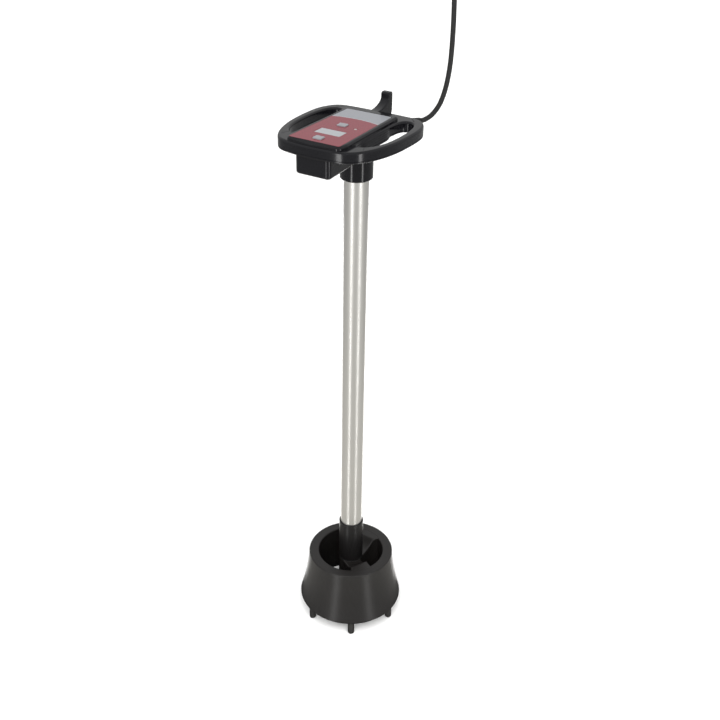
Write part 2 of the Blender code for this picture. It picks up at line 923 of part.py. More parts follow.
def add_lower_shell():
    outline = head_outline()
    plate_layers = [
        (1.2 * mm, ring_bottom_z),
        (0.3 * mm, ring_bottom_z + 0.4 * mm),
        (0, ring_bottom_z + 1.2 * mm),
        (0, plate_top_z),
    ]
    shell = layered("lower_shell", outline, plate_layers, gloss_black)
    box_layers = [
        (2 * mm, box_bottom_z),
        (0.6 * mm, box_bottom_z + 0.6 * mm),
        (0, box_bottom_z + 2 * mm),
        (0, ring_bottom_z + mm),
    ]
    combine(shell, layered("box", box_outline(), box_layers, gloss_black), "UNION")
    socket = rod("socket", collar_diameter / 2, box_bottom_z, ring_bottom_z + mm, gloss_black, 32)
    combine(shell, socket, "UNION")
    for side in (-1, 1):
        hole = [(0, ring_bottom_z - mm), (0, plate_top_z + mm)]
        combine(shell, layered("grip", grip_outline(side), hole, gloss_black))
    well_rear = -collar_diameter / 2 - 1 * mm
    wide = box_half_width - shell_wall
    narrow = wide - 4 * mm
    front = -box_front + shell_wall
    corners = [(-wide, front), (wide, front), (narrow, well_rear), (-narrow, well_rear)]
    layers = [(0, box_bottom_z + shell_wall), (0, plate_top_z + mm)]
    combine(shell, layered("well", corner_loop(corners, 4 * mm), layers, gloss_black))
    bore = rod("bore", tube_diameter / 2 + gap, box_bottom_z - mm, plate_top_z + mm, gloss_black, 32)
    combine(shell, bore)
    low = ring_bottom_z - mm
    for place in screw_places():
        hole = screw_diameter / 2 + gap
        combine(shell, rod("hole", hole, low, plate_top_z + mm, gloss_black, 10, place))
        sink = screw_head_diameter / 2 + gap
        combine(shell, rod("sink", sink, low, ring_bottom_z + screw_sink, gloss_black, 10, place))


def add_gasket():
    """A flat seal that follows the housing's inside wall on the base plate."""
    outline = head_outline()
    low = plate_top_z + gap
    high = low + gasket_thickness
    outer = shell_wall + gap
    seal = layered("shell_gasket", outline, [(outer, low), (outer, high)], rubber)
    inner = outer + 1.6 * mm
    combine(seal, layered("middle", outline, [(inner, low - mm), (inner, high + mm)], rubber))


def add_screws():
    shank_top = plate_top_z + screw_reach
    head_top = ring_bottom_z + screw_sink - gap
    head_low = head_top - 1.4 * mm
    for number, (x, y) in enumerate(screw_places(), 1):
        profile = [
            (0, head_low),
            (screw_head_diameter / 2, head_low),
            (screw_head_diameter / 2, head_top),
            (screw_diameter / 2, head_top),
            (screw_diameter / 2, shank_top),
            (0, shank_top),
        ]
        add_object(f"shell_screw_{number}", placed(turned_mesh(profile, 10), (x, y, 0)), steel)
    low = board_z - 1.6 * mm
    for number, (x, y) in enumerate(board_screw_places(), 1):
        profile = [
            (0, low),
            (2 * mm, low),
            (2 * mm, board_z - gap),
            (1 * mm, board_z - gap),
            (1 * mm, board_z + board_thickness + 3 * mm),
            (0, board_z + board_thickness + 3 * mm),
        ]
        add_object(f"board_screw_{number}", placed(turned_mesh(profile, 8), (x, y, 0)), steel)


def add_board():
    size = (2 * board_half_width, board_rear_y - board_front_y, board_thickness)
    centre = (0, (board_front_y + board_rear_y) / 2, board_z + board_thickness / 2)
    board = block("control_board", size, centre, board_green)
    for place in board_screw_places():
        high = board_z + 2 * board_thickness
        combine(board, rod("hole", mm + gap, board_z - mm, high, board_green, 12, place))
    board_top = board_z + board_thickness + gap
    x, y = window_centre
    display = (window_size[0] - 1 * mm, window_size[1] - 1 * mm, roof_z - gap - board_top)
    block("display_module", display, (x, y, board_top + display[2] / 2), display_black)
    for name, (x, y) in key_centres.items():
        body = (6 * mm, 6 * mm, switch_top() - board_top)
        switch = name.replace("key", "switch")
        block(switch, body, (x, y, board_top + body[2] / 2), black_plastic)
    lamp_top = panel_top_z + 0.3 * mm
    rod("indicator_lamp", indicator_diameter / 2, board_top, lamp_top, lamp_red, 16, indicator_centre)


def switch_top():
    return roof_z - gap - key_flange_thickness - key_travel - gap


def add_keys():
    """Keys: a cap that stands above the label and a flange that keeps it under the panel's roof."""
    for name, (x, y) in key_centres.items():
        flange_top = roof_z - gap
        flange_low = flange_top - key_flange_thickness
        cap_top = panel_top_z + key_rise
        cap_low = flange_top - 0.1 * mm
        centre = (0, 0, (cap_top + cap_low) / 2 - flange_low)
        cap = block_mesh((*key_size, cap_top - cap_low), centre, 1.5 * mm)
        top = cap_top - flange_low - 1e-6
        crown = [edge for edge in cap.edges if all(vert.co.z > top for vert in edge.verts)]
        bmesh.ops.bevel(cap, geom=crown, offset=0.5 * mm, segments=2, affect="EDGES", profile=0.5)
        key = add_object(name, cap, key_grey)
        across = key_size[0] + 2 * key_flange
        along = key_size[1] + 2 * key_flange
        size = (across, along, key_flange_thickness)
        flange = block_mesh(size, (0, 0, key_flange_thickness / 2), mm)
        combine(key, add_object("flange", flange, key_grey), "UNION")
        key.location = (x, y, flange_low)


def add_label():
    low = panel_top_z - label_thickness + 0.05 * mm
    label = layered("label", label_outline(), [(0, low), (0, panel_top_z)], label_red)
    cut_panel_holes(label)
    size = (window_size[0], window_size[1], window_thickness)
    top = panel_top_z - 0.1 * mm
    block("display_window", size, (*window_centre, top - window_thickness / 2), window_grey, 0.9 * mm)


def add_power_parts():
    floor = box_bottom_z + shell_wall + gap
    block("power_module", (38 * mm, 34 * mm, 17 * mm), (0, -88 * mm, floor + 8.5 * mm), black_plastic)
    block("relay", (16 * mm, 28 * mm, 15 * mm), (-10 * mm, -52 * mm, floor + 7.5 * mm), relay_blue)
    fuse = rod_mesh(3 * mm, 0, 20 * mm, 16)
    place = (10 * mm, -62 * mm, floor + 3.5 * mm)
    add_object("fuse", placed(fuse, place, Matrix.Rotation(-math.pi / 2, 4, "X")), fuse_white)
    centre = (22 * mm, 33 * mm, plate_top_z + gap + 3.5 * mm)
    block("terminal_block", (24 * mm, 12 * mm, 7 * mm), centre, fuse_white)


def hook_outline():
    """Side view of the hook in Y and Z: a foot in the housing, a deep throat and an upright tip."""
    foot_front = hook_foot_front()
    foot_low = ring_bottom_z + hook_foot_rise
    tip_top = panel_top_z + hook_tip_rise
    inner = hook_rear_y - hook_thickness
    bend = 8 * mm
    points = [(foot_front, foot_low), (hook_rear_y - bend, foot_low)]
    for step in range(1, 4):
        turn = math.pi / 2 * step / 3
        across = hook_rear_y - bend + bend * math.sin(turn)
        points.append((across, foot_low + bend - bend * math.cos(turn)))
    points += [
        (hook_rear_y, tip_top - 5 * mm),
        (hook_rear_y - 1.4 * mm, tip_top - 1.4 * mm),
        (hook_rear_y - 4.5 * mm, tip_top),
        (inner + 1.5 * mm, tip_top - 1.5 * mm),
        (inner, tip_top - 5 * mm),
    ]
    throat_low = ring_top_z + mm
    sweep = tip_top - 5 * mm - throat_low
    reach = inner - foot_front
    for step in range(1, 6):
        turn = math.pi / 2 * step / 5
        height = throat_low + sweep * (1 - math.sin(turn))
        points.append((inner - reach * (1 - math.cos(turn)), height))
    return points


def hook_foot_front():
    """The hook's foot begins just behind the raised panel."""
    return panel_rear_y + 4 * mm


def hook_mesh():
    made = bmesh.new()
    outline = hook_outline()
    half = hook_width / 2
    left = [made.verts.new((-half, y, z)) for y, z in outline]
    right = [made.verts.new((half, y, z)) for y, z in outline]
    for i in range(len(outline)):
        made.faces.new((left[i - 1], left[i], right[i], right[i - 1]))
    made.faces.new(left)
    made.faces.new(reversed(right))
    return made


def add_hook(upper_shell):
    """The hook's foot sits in a slot through the housing's top and rear wall."""
    low = ring_bottom_z + hook_foot_rise - gap
    high = ring_top_z + mm
    front = hook_foot_front() - gap
    length = head_rear + 5 * mm - front
    size = (hook_width + 2 * gap, length, high - low)
    slot = block_mesh(size, (0, front + length / 2, (low + high) / 2))
    combine(upper_shell, add_object("slot", slot, gloss_black))
    add_object("hanging_hook", hook_mesh(), gloss_black)


def gland_turn():
    return Matrix.Rotation(gland_tilt, 4, "Z") @ Matrix.Rotation(math.radians(-90 - 6), 4, "X")


def gland_base():
    x, z = gland_position
    return Vector((x, head_rear - 8 * mm, z))


def gland_cutter():
    """Round hole through the rear wall for the strain relief."""
    far = gland_wall_depth + 9 * mm
    made = rod_mesh(gland_base_diameter / 2 + gap, -gland_neck - gap, far, 16)
    return add_object("gland_hole", placed(made, gland_base(), gland_turn()), gloss_black)


def add_gland():
    """Strain relief: a neck through the rear wall, a shoulder outside it and a long taper."""
    base = gland_base_diameter / 2
    tip = gland_tip_diameter / 2
    profile = [
        (0, -gland_neck),
        (base, -gland_neck),
        (base, gland_wall_depth),
        (base + 1 * mm, gland_wall_depth + 1 * mm),
        (base + 1 * mm, gland_wall_depth + 3 * mm),
        (tip, gland_wall_depth + gland_length),
        (0, gland_wall_depth + gland_length),
    ]
    mesh_data = placed(turned_mesh(profile, 16), gland_base(), gland_turn())
    add_object("cord_gland", mesh_data, rubber)


def cord_points():
    """Points of the mains lead, from the gland's tip to the plug, on one smooth curve."""
    turn = gland_turn()
    along = (turn @ Vector((0, 0, 1))).normalized()
    start = gland_base() + along * (gland_wall_depth + gland_length + gap)
    chosen = [start, start + along * 6 * mm]
    chosen += [Vector(point) * mm for point in cord_route]
    points = []
    for i in range(len(chosen) - 1):
        before = chosen[max(i - 1, 0)]
        after = chosen[min(i + 2, len(chosen) - 1)]
        first, last = chosen[i], chosen[i + 1]
        for step in range(2):
            t = step / 2
            points.append(
                0.5
                * (
                    2 * first
                    + (last - before) * t
                    + (2 * before - 5 * first + 4 * last - after) * t * t
                    + (3 * first - before - 3 * last + after) * t**3
                )
            )
    points.append(chosen[-1])
    return points


def add_cord():
    swept("mains_cord", cord_points(), cord_diameter / 2, cord_black, resolution=2)
    end = Vector(cord_route[-1]) * mm
    body = plug_diameter / 2
    neck = 6 * mm
    low = gap
    profile = [
        (0, low),
        (neck, low),
        (neck + 1 * mm, low + 12 * mm),
        (body - 4 * mm, low + 19 * mm),
        (body, low + 26 * mm),
        (body, low + plug_length),
        (0, low + plug_length),
    ]
    plug = add_object("mains_plug", placed(turned_mesh(profile, 24), end), black_plastic)
    face = end.z + low + plug_length
    for number, side in enumerate((-1, 1), 1):
        x = end.x + side * plug_pin_spacing / 2
        place = (x, end.y)
        socket_low = face - 8 * mm
        socket = plug_pin_diameter / 2 + gap
        combine(plug, rod("pin_hole", socket, socket_low, face + mm, black_plastic, 16, place))
        pin = plug_pin_diameter / 2
        high = face + plug_pin_length
        rod(f"plug_pin_{number}", pin, socket_low + gap, high, steel, 16, place)


clear_scene()
root = bpy.data.objects.new("heater_root", None)
bpy.context.scene.collection.objects.link(root)
root.location = (0, centre_shift, 0)

cast_metal = material("coated_cast_metal", (0.035, 0.033, 0.03), 0.45, 0.4)
aluminium = material("aluminium", (0.75, 0.75, 0.74), 0.3, 1.0)
black_plastic = material("black_plastic", (0.02, 0.02, 0.021), 0.4)
gloss_black = material("gloss_black", (0.012, 0.012, 0.014), 0.2)
foot_black = material("foot_black", (0.03, 0.03, 0.03), 0.5)
rubber = material("rubber", (0.02, 0.02, 0.02), 0.7)
cord_black = material("cord_black", (0.018, 0.018, 0.018), 0.55)
steel = material("steel", (0.6, 0.6, 0.6), 0.3, 1.0)
label_red = material("label_red", (0.32, 0.02, 0.03), 0.35)
key_grey = material("key_grey", (0.55, 0.55, 0.56), 0.4)
window_grey = material("window_grey", (0.55, 0.56, 0.55), 0.1)
lamp_red = material("lamp_red", (0.5, 0.02, 0.02), 0.25)
display_black = material("display_black", (0.05, 0.05, 0.05), 0.5)
board_green = material("board_green", (0.02, 0.18, 0.07), 0.5)
relay_blue = material("relay_blue", (0.03, 0.1, 0.4), 0.4)
fuse_white = material("fuse_white", (0.75, 0.74, 0.7), 0.4)
heat_sleeve = material("heat_sleeve", (0.7, 0.68, 0.6), 0.8)

add_heater_body()
add_element()
add_bottom_ring()
add_feet()
add_hub_parts()
add_tube_group()
add_collar()
upper_shell = add_upper_shell()
add_lower_shell()
add_gasket()
add_screws()
add_board()
add_keys()
add_label()
add_power_parts()
add_hook(upper_shell)
add_gland()
add_cord()
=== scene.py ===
# Immersion liquid heater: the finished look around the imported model.
import json
import math

import bpy
from mathutils import Matrix, Vector

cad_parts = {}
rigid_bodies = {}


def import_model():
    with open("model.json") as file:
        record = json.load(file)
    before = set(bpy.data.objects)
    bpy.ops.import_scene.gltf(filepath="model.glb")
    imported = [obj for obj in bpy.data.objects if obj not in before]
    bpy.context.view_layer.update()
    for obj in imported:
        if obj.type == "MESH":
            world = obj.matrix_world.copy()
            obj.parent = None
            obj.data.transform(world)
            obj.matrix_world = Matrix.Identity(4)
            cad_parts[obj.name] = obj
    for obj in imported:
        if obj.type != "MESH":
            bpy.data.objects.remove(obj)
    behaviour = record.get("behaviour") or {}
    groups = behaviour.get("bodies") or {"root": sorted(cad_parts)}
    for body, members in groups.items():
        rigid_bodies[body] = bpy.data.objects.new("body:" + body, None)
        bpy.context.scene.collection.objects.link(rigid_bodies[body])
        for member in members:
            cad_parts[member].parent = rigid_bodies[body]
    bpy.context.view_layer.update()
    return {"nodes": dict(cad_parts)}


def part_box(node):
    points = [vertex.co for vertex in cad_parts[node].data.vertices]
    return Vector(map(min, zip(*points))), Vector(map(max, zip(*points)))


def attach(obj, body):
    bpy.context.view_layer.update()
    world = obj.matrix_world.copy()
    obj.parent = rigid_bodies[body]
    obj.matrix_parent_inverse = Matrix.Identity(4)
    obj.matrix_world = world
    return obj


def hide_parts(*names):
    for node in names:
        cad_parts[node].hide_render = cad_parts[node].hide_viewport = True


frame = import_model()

mm = 0.001
nodes = frame["nodes"]
tubeLow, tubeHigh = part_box("tube")
axisY = (tubeLow.y + tubeHigh.y) / 2  # the tube stands at x = 0, y = axisY


# small helpers for working the way one does by hand

def selectOnly(piece):
    bpy.ops.object.select_all(action="DESELECT")
    piece.select_set(True)
    bpy.context.view_layer.objects.active = piece


def nameIt(name):
    piece = bpy.context.object
    piece.name = name
    piece.data.name = name
    return piece


def applyPlace(piece):
    selectOnly(piece)
    bpy.ops.object.transform_apply(location=True, rotation=True, scale=True)


def modify(piece, kind, **settings):
    selectOnly(piece)
    modifier = piece.modifiers.new(kind.title(), kind)
    for setting, value in settings.items():
        setattr(modifier, setting, value)
    bpy.ops.object.modifier_apply(modifier=modifier.name)


def smoothOver(piece, angle=38, weighted=True):
    selectOnly(piece)
    bpy.ops.object.shade_smooth_by_angle(angle=math.radians(angle))
    if weighted:
        modify(piece, "WEIGHTED_NORMAL", keep_sharp=True)


def cutAway(piece, tool):
    modify(piece, "BOOLEAN", operation="DIFFERENCE", object=tool)
    bpy.data.objects.remove(tool)


def joinOn(piece, tool):
    modify(piece, "BOOLEAN", operation="UNION", object=tool)
    bpy.data.objects.remove(tool)


def closeUp(piece):
    # merge doubles and turn the faces outwards
    selectOnly(piece)
    bpy.ops.object.mode_set(mode="EDIT")
    bpy.ops.mesh.select_all(action="SELECT")
    bpy.ops.mesh.remove_doubles(threshold=2e-6)
    bpy.ops.mesh.dissolve_degenerate(threshold=1e-6)
    bpy.ops.mesh.normals_make_consistent(inside=False)
    bpy.ops.object.mode_set(mode="OBJECT")


def spinPiece(name, profile, steps=96, centre=None):
    # a corner is drawn out along the profile, (radius, height) in mm, then spun about the axis
    profile = [(radius * mm, height * mm) for radius, height in profile]
    bpy.ops.object.select_all(action="DESELECT")
    bpy.ops.mesh.primitive_plane_add(size=mm, location=(0, 0, 0))
    piece = nameIt(name)
    bpy.ops.object.mode_set(mode="EDIT")
    bpy.ops.mesh.select_all(action="SELECT")
    bpy.ops.mesh.merge(type="CENTER")
    bpy.ops.transform.translate(value=(profile[0][0], 0, profile[0][1]))
    closed = profile[0][0] > 0 or profile[-1][0] > 0
    stops = profile[1:] + profile[:1] if closed else profile[1:]
    last = profile[0]
    for radius, height in stops:
        step = (radius - last[0], 0, height - last[1])
        bpy.ops.mesh.extrude_region_move(TRANSFORM_OT_translate={"value": step})
        last = (radius, height)
    bpy.ops.mesh.select_all(action="SELECT")
    bpy.ops.mesh.remove_doubles(threshold=1e-6)
    bpy.ops.mesh.select_all(action="SELECT")
    bpy.ops.mesh.spin(steps=steps, angle=2 * math.pi, center=(0, 0, 0), axis=(0, 0, 1))
    bpy.ops.object.mode_set(mode="OBJECT")
    closeUp(piece)
    piece.location = centre if centre else (0, axisY, 0)
    applyPlace(piece)
    return piece


def arc(centre, radius, start, end, steps=5):
    # points of a fillet in a profile, angles in degrees from the outward direction
    turns = [math.radians(start + (end - start) * i / steps) for i in range(steps + 1)]
    return [(centre[0] + radius * math.cos(t), centre[1] + radius * math.sin(t)) for t in turns]


def between(before, start, end, after, t):
    # a point on the curve from start to end, heading in and out as its neighbours ask
    bend = (2 * before - 5 * start + 4 * end - after) * t * t
    twist = (3 * start - before - 3 * end + after) * t**3
    return 0.5 * (2 * start + (end - before) * t + bend + twist)


def smoothLoop(points, steps=8):
    # a closed curve that runs through every point
    loop = []
    count = len(points)
    for i in range(count):
        around = [Vector(points[(i + k) % count]) for k in (-1, 0, 1, 2)]
        for step in range(steps):
            loop.append(between(*around, step / steps))
    return loop


def cornerLoop(corners, radius, steps=8):
    # a polygon with rounded corners
    loop = []
    for i, corner in enumerate(corners):
        corner = Vector(corner)
        toLast = (Vector(corners[i - 1]) - corner).normalized()
        toNext = (Vector(corners[(i + 1) % len(corners)]) - corner).normalized()
        half = toLast.angle(toNext) / 2
        middle = corner + (toLast + toNext).normalized() * radius / math.sin(half)
        start = corner + toLast * radius / math.tan(half) - middle
        end = corner + toNext * radius / math.tan(half) - middle
        sweep = start.angle(end)
        for step in range(steps + 1):
            loop.append(middle + Matrix.Rotation(sweep * step / steps, 2) @ start)
    return loop


def flatPlate(name, loops, low, high, rounding=0.0, grow=0.0):
    # flat curves, filled and given a height; the first loop is the edge and the others are holes
    curve = bpy.data.curves.new(name, "CURVE")
    curve.dimensions = "2D"
    curve.fill_mode = "BOTH"
    curve.extrude = (high - low) / 2 - rounding
    curve.bevel_depth = rounding
    curve.bevel_resolution = 4
    curve.offset = grow - rounding
    for loop in loops:
        spline = curve.splines.new("POLY")
        spline.points.add(len(loop) - 1)
        for point, place in zip(spline.points, loop):
            point.co = (place[0], place[1] + axisY, 0, 1)
        spline.use_cyclic_u = True
    piece = bpy.data.objects.new(name, curve)
    bpy.context.scene.collection.objects.link(piece)
    selectOnly(piece)
    bpy.ops.object.convert(target="MESH")
    piece = nameIt(name)
    piece.location.z = (low + high) / 2
    applyPlace(piece)
    closeUp(piece)
    return piece


def sliceBelow(piece, height):
    # cut the mesh level and throw the lower side away
    selectOnly(piece)
    bpy.ops.object.mode_set(mode="EDIT")
    bpy.ops.mesh.select_all(action="SELECT")
    bpy.ops.mesh.bisect(
        plane_co=(0, 0, height), plane_no=(0, 0, 1), use_fill=True, clear_inner=True)
    bpy.ops.object.mode_set(mode="OBJECT")
    closeUp(piece)


def finish(piece, material, body="heater", node=None):
    piece.data.materials.clear()
    piece.data.materials.append(material)
    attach(piece, body)
    if node:
        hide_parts(*([node] if isinstance(node, str) else node))


# materials

def linear(code):
    # an sRGB hex colour as linear light
    parts = [int(code[i:i + 2], 16) / 255 for i in (0, 2, 4)]
    light = [c / 12.92 if c <= 0.04045 else ((c + 0.055) / 1.055) ** 2.4 for c in parts]
    return tuple(light) + (1.0,)


def addNode(tree, kind, settings=None, links=None):
    # links: input name or number -> output socket that feeds it
    node = tree.nodes.new(kind)
    for setting, value in (settings or {}).items():
        if hasattr(node, setting):
            setattr(node, setting, value)
        else:
            node.inputs[setting].default_value = value
    for name, source in (links or {}).items():
        tree.links.new(source, node.inputs[name])
    return node


def newMaterial(name):
    material = bpy.data.materials.new(name)
    material.use_nodes = True
    return material, material.node_tree.nodes["Principled BSDF"]


def moulded(name, colour, lighter, roughness, spread, grain, bump, metallic=0.0, coat=0.0, ior=1.5):
    # a solid material with soft clouding, a fine skin and a slightly uneven gloss; grain in mm
    material, shader = newMaterial(name)
    tree = material.node_tree
    shader.inputs["Metallic"].default_value = metallic
    shader.inputs["IOR"].default_value = ior
    shader.inputs["Coat Weight"].default_value = coat
    shader.inputs["Coat Roughness"].default_value = 0.08
    place = addNode(tree, "ShaderNodeTexCoord").outputs["Object"]
    clouds = addNode(tree, "ShaderNodeTexNoise", {"Scale": 22.0, "Detail": 4.0}, {"Vector": place})
    fine = addNode(
        tree, "ShaderNodeTexNoise", {"Scale": 1 / (grain * mm), "Detail": 3.0}, {"Vector": place})
    tint = addNode(tree, "ShaderNodeMix", {"data_type": "RGBA"}, {0: clouds.outputs["Fac"]})
    tint.inputs[6].default_value = linear(colour)
    tint.inputs[7].default_value = linear(lighter)
    tree.links.new(tint.outputs[2], shader.inputs["Base Color"])
    gloss = addNode(
        tree, "ShaderNodeMapRange", {"From Min": 0.3, "From Max": 0.7},
        {"Value": fine.outputs["Fac"]})
    gloss.inputs["To Min"].default_value = roughness - spread
    gloss.inputs["To Max"].default_value = roughness + spread
    tree.links.new(gloss.outputs["Result"], shader.inputs["Roughness"])
    skin = addNode(
        tree, "ShaderNodeBump", {"Strength": bump, "Distance": 0.1 * mm},
        {"Height": fine.outputs["Fac"]})
    tree.links.new(skin.outputs["Normal"], shader.inputs["Normal"])
    return material


def satinTubeAluminium():
    # drawn aluminium tube: bright satin metal with lengthwise die lines and soft handling marks
    material, shader = newMaterial("satinTubeAluminium")
    tree = material.node_tree
    shader.inputs["Metallic"].default_value = 1.0
    place = addNode(tree, "ShaderNodeTexCoord").outputs["Object"]
    along = addNode(tree, "ShaderNodeMapping", {"Scale": (900, 900, 5)}, {"Vector": place})
    lines = addNode(
        tree, "ShaderNodeTexNoise", {"Scale": 1.0, "Detail": 3.0},
        {"Vector": along.outputs["Vector"]})
    marks = addNode(tree, "ShaderNodeTexNoise", {"Scale": 14.0, "Detail": 5.0}, {"Vector": place})
    tint = addNode(tree, "ShaderNodeMix", {"data_type": "RGBA"}, {0: lines.outputs["Fac"]})
    tint.inputs[6].default_value = linear("dddcd8")
    tint.inputs[7].default_value = linear("eeede9")
    tree.links.new(tint.outputs[2], shader.inputs["Base Color"])
    gloss = addNode(
        tree, "ShaderNodeMapRange", {"To Min": 0.36, "To Max": 0.46},
        {"Value": marks.outputs["Fac"]})
    tree.links.new(gloss.outputs["Result"], shader.inputs["Roughness"])
    skin = addNode(
        tree, "ShaderNodeBump", {"Strength": 0.04, "Distance": 0.02 * mm},
        {"Height": lines.outputs["Fac"]})
    tree.links.new(skin.outputs["Normal"], shader.inputs["Normal"])
    return material


labelPrint = {
    "red": "752934",       # deep red field
    "silver": "85878c",    # grey field behind it
    "line": "a3a5a9",      # thin light line between the fields
    "arcCentre": -128.0,   # mm from the tube axis, the circle that parts the fields
    "arcRadius": 126.5,
    "lineWidth": 0.9,
}


def printedFilm():
    # screen-printed polycarbonate film: flat inks under a smooth satin face
    material, shader = newMaterial("printedFilm")
    tree = material.node_tree
    shader.inputs["Roughness"].default_value = 0.26
    shader.inputs["IOR"].default_value = 1.58
    place = addNode(tree, "ShaderNodeTexCoord").outputs["Object"]
    centred = addNode(tree, "ShaderNodeMapping", {"vector_type": "POINT"}, {"Vector": place})
    centred.inputs["Location"].default_value = (0, -(axisY + labelPrint["arcCentre"] * mm), 0)
    centred.inputs["Scale"].default_value = (1, 1, 0)
    reach = addNode(
        tree, "ShaderNodeVectorMath", {"operation": "LENGTH"}, {0: centred.outputs["Vector"]})
    edge = labelPrint["arcRadius"] * mm
    behind = addNode(
        tree, "ShaderNodeMath", {"operation": "GREATER_THAN"}, {0: reach.outputs["Value"]})
    behind.inputs[1].default_value = edge
    onLine = addNode(tree, "ShaderNodeMath", {"operation": "COMPARE"}, {0: reach.outputs["Value"]})
    onLine.inputs[1].default_value = edge
    onLine.inputs[2].default_value = labelPrint["lineWidth"] * mm / 2
    dots = addNode(tree, "ShaderNodeTexNoise", {"Scale": 900.0, "Detail": 2.0}, {"Vector": place})
    fields = addNode(tree, "ShaderNodeMix", {"data_type": "RGBA"}, {0: behind.outputs["Value"]})
    fields.inputs[6].default_value = linear(labelPrint["red"])
    fields.inputs[7].default_value = linear(labelPrint["silver"])
    lined = addNode(
        tree, "ShaderNodeMix", {"data_type": "RGBA"},
        {0: onLine.outputs["Value"], 6: fields.outputs[2]})
    lined.inputs[7].default_value = linear(labelPrint["line"])
    inked = addNode(
        tree, "ShaderNodeMix", {"data_type": "RGBA", "blend_type": "OVERLAY"},
        {6: lined.outputs[2]})
    inked.inputs[0].default_value = 0.12
    tree.links.new(dots.outputs["Color"], inked.inputs[7])
    tree.links.new(inked.outputs[2], shader.inputs["Base Color"])
    skin = addNode(
        tree, "ShaderNodeBump", {"Strength": 0.08, "Distance": 0.05 * mm},
        {"Height": dots.outputs["Fac"]})
    tree.links.new(skin.outputs["Normal"], shader.inputs["Normal"])
    return material


def steelFor(name, colour, lighter, roughness):
    return moulded(name, colour, lighter, roughness, 0.06, 0.6, 0.1, metallic=1.0)


# non-stick coated aluminium casting: satin warm black with a fine sprayed grain
casting = moulded("coatedCasting", "151413", "1c1a19", 0.4, 0.05, 0.5, 0.22)
aluminium = satinTubeAluminium()
film = printedFilm()
# injection-moulded ABS: near-black, smooth and glossy with a faint orange peel
glossAbs = moulded("glossAbs", "0d0d10", "121215", 0.16, 0.02, 0.9, 0.02, coat=0.1)
glossAbs.node_tree.nodes["Principled BSDF"].inputs["Specular IOR Level"].default_value = 0.32
# glass-filled nylon: black with a soft sheen and a fine sparkle of grain
blackNylon = moulded("blackNylon", "0d0c0c", "141313", 0.38, 0.05, 0.35, 0.25)
blackNylon.node_tree.nodes["Principled BSDF"].inputs["Specular IOR Level"].default_value = 0.38
# short nylon feet: a little greyer and duller from standing in pails
footNylon = moulded("footNylon", "262524", "343331", 0.48, 0.06, 0.5, 0.4)
# silicone keys: light grey, soft matte with a faint bloom
keySilicone = moulded("keySilicone", "838488", "8f9094", 0.42, 0.04, 0.4, 0.2)
# acrylic display window: pale grey over the unlit digits, smooth and clear
windowAcrylic = moulded(
    "windowAcrylic", "94979a", "9c9fa2", 0.1, 0.02, 2.0, 0.02, coat=0.5, ior=1.49)
# indicator lens: pale moulded polycarbonate
lampLens = moulded("lampLens", "958b88", "a09693", 0.2, 0.03, 0.8, 0.05, ior=1.58)
# nitrile and EPDM seals and the gland: dull black with moulding grain
sealRubber = moulded("sealRubber", "121212", "1a1a1a", 0.62, 0.06, 0.3, 0.4)
# rubber-sheathed mains lead: dark, slightly dusty matte sheath
sheathRubber = moulded("sheathRubber", "151515", "1d1d1d", 0.5, 0.06, 0.4, 0.3)
plugRubber = moulded("plugRubber", "131313", "1b1b1b", 0.44, 0.05, 0.4, 0.3)
# nickel-plated brass pins, zinc-plated screws and the sheathed steel element
nickelPin = steelFor("nickelPlatedPin", "c9c4b6", "d8d4c8", 0.2)
zincSteel = steelFor("zincPlatedSteel", "a9a9a6", "bdbdba", 0.32)
elementSteel = steelFor("elementSteel", "8f8b84", "a5a19a", 0.4)
# hidden parts: solder-masked board, moulded relay case, ceramics and glass-fibre sleeving
solderMask = moulded("solderMask", "0f4a28", "13562f", 0.35, 0.05, 0.8, 0.1)
relayCase = moulded("relayCase", "1d3f86", "24488f", 0.35, 0.04, 0.8, 0.05)
whiteCeramic = moulded("whiteCeramic", "dedad0", "e8e5dc", 0.3, 0.05, 0.6, 0.1)
glassSleeving = moulded("glassSleeving", "cfc8b6", "ddd7c8", 0.75, 0.05, 0.8, 0.6)
print("materials made")


# camera, then the mains lead

view = {
    "distance": 1.3423,     # from the tube axis, along the floor
    "height": 1.2991,
    "heading": 30.68,       # degrees round from the front, to the user's right
    "aim": -0.41,
    "downward": 30.916,
    "roll": 1.089,
    "lens": 51.555,
}


def addCamera():
    camera = bpy.data.objects.new("viewCamera", bpy.data.cameras.new("viewCamera"))
    bpy.context.scene.collection.objects.link(camera)
    camera.data.lens = view["lens"]
    camera.data.sensor_width = 36
    camera.data.clip_end = 50
    heading = math.radians(view["heading"])
    place = Vector((math.sin(heading), -math.cos(heading), 0)) * view["distance"]
    turn = Matrix.Rotation(math.radians(view["heading"] + view["aim"]), 4, "Z")
    tip = Matrix.Rotation(math.radians(90 - view["downward"]), 4, "X")
    roll = Matrix.Rotation(math.radians(view["roll"]), 4, "Z")
    place += Vector((0, axisY, view["height"]))
    camera.matrix_world = Matrix.Translation(place) @ turn @ tip @ roll
    bpy.context.scene.camera = camera


addCamera()

lead = {
    "diameter": 7.0,
    "glandBase": (45.5, 55.0, 857.2),
    "sideways": -14.0,      # degrees the gland points off the rear, and how far it dips
    "dip": 6.0,
    "glandReach": 27.0,     # from the gland's base to its tip
    "holeRadius": 4.6,
    "straight": 6.0,
    "route": (
        (55.5, 91.5, 854.5), (58.3, 101.0, 857.2), (60.8, 110.5, 863.0), (62.9, 118.5, 871.0),
        (64.6, 124.8, 882.5), (65.9, 129.6, 896.5), (66.8, 132.9, 912.0), (67.4, 135.0, 930.0),
        (67.6, 136.0, 955.0), (67.5, 135.8, 985.0), (67.1, 134.5, 1016.0),
    ),
}


def inWorld(point):
    return Vector((point[0], point[1], point[2])) * mm + Vector((0, axisY, 0))


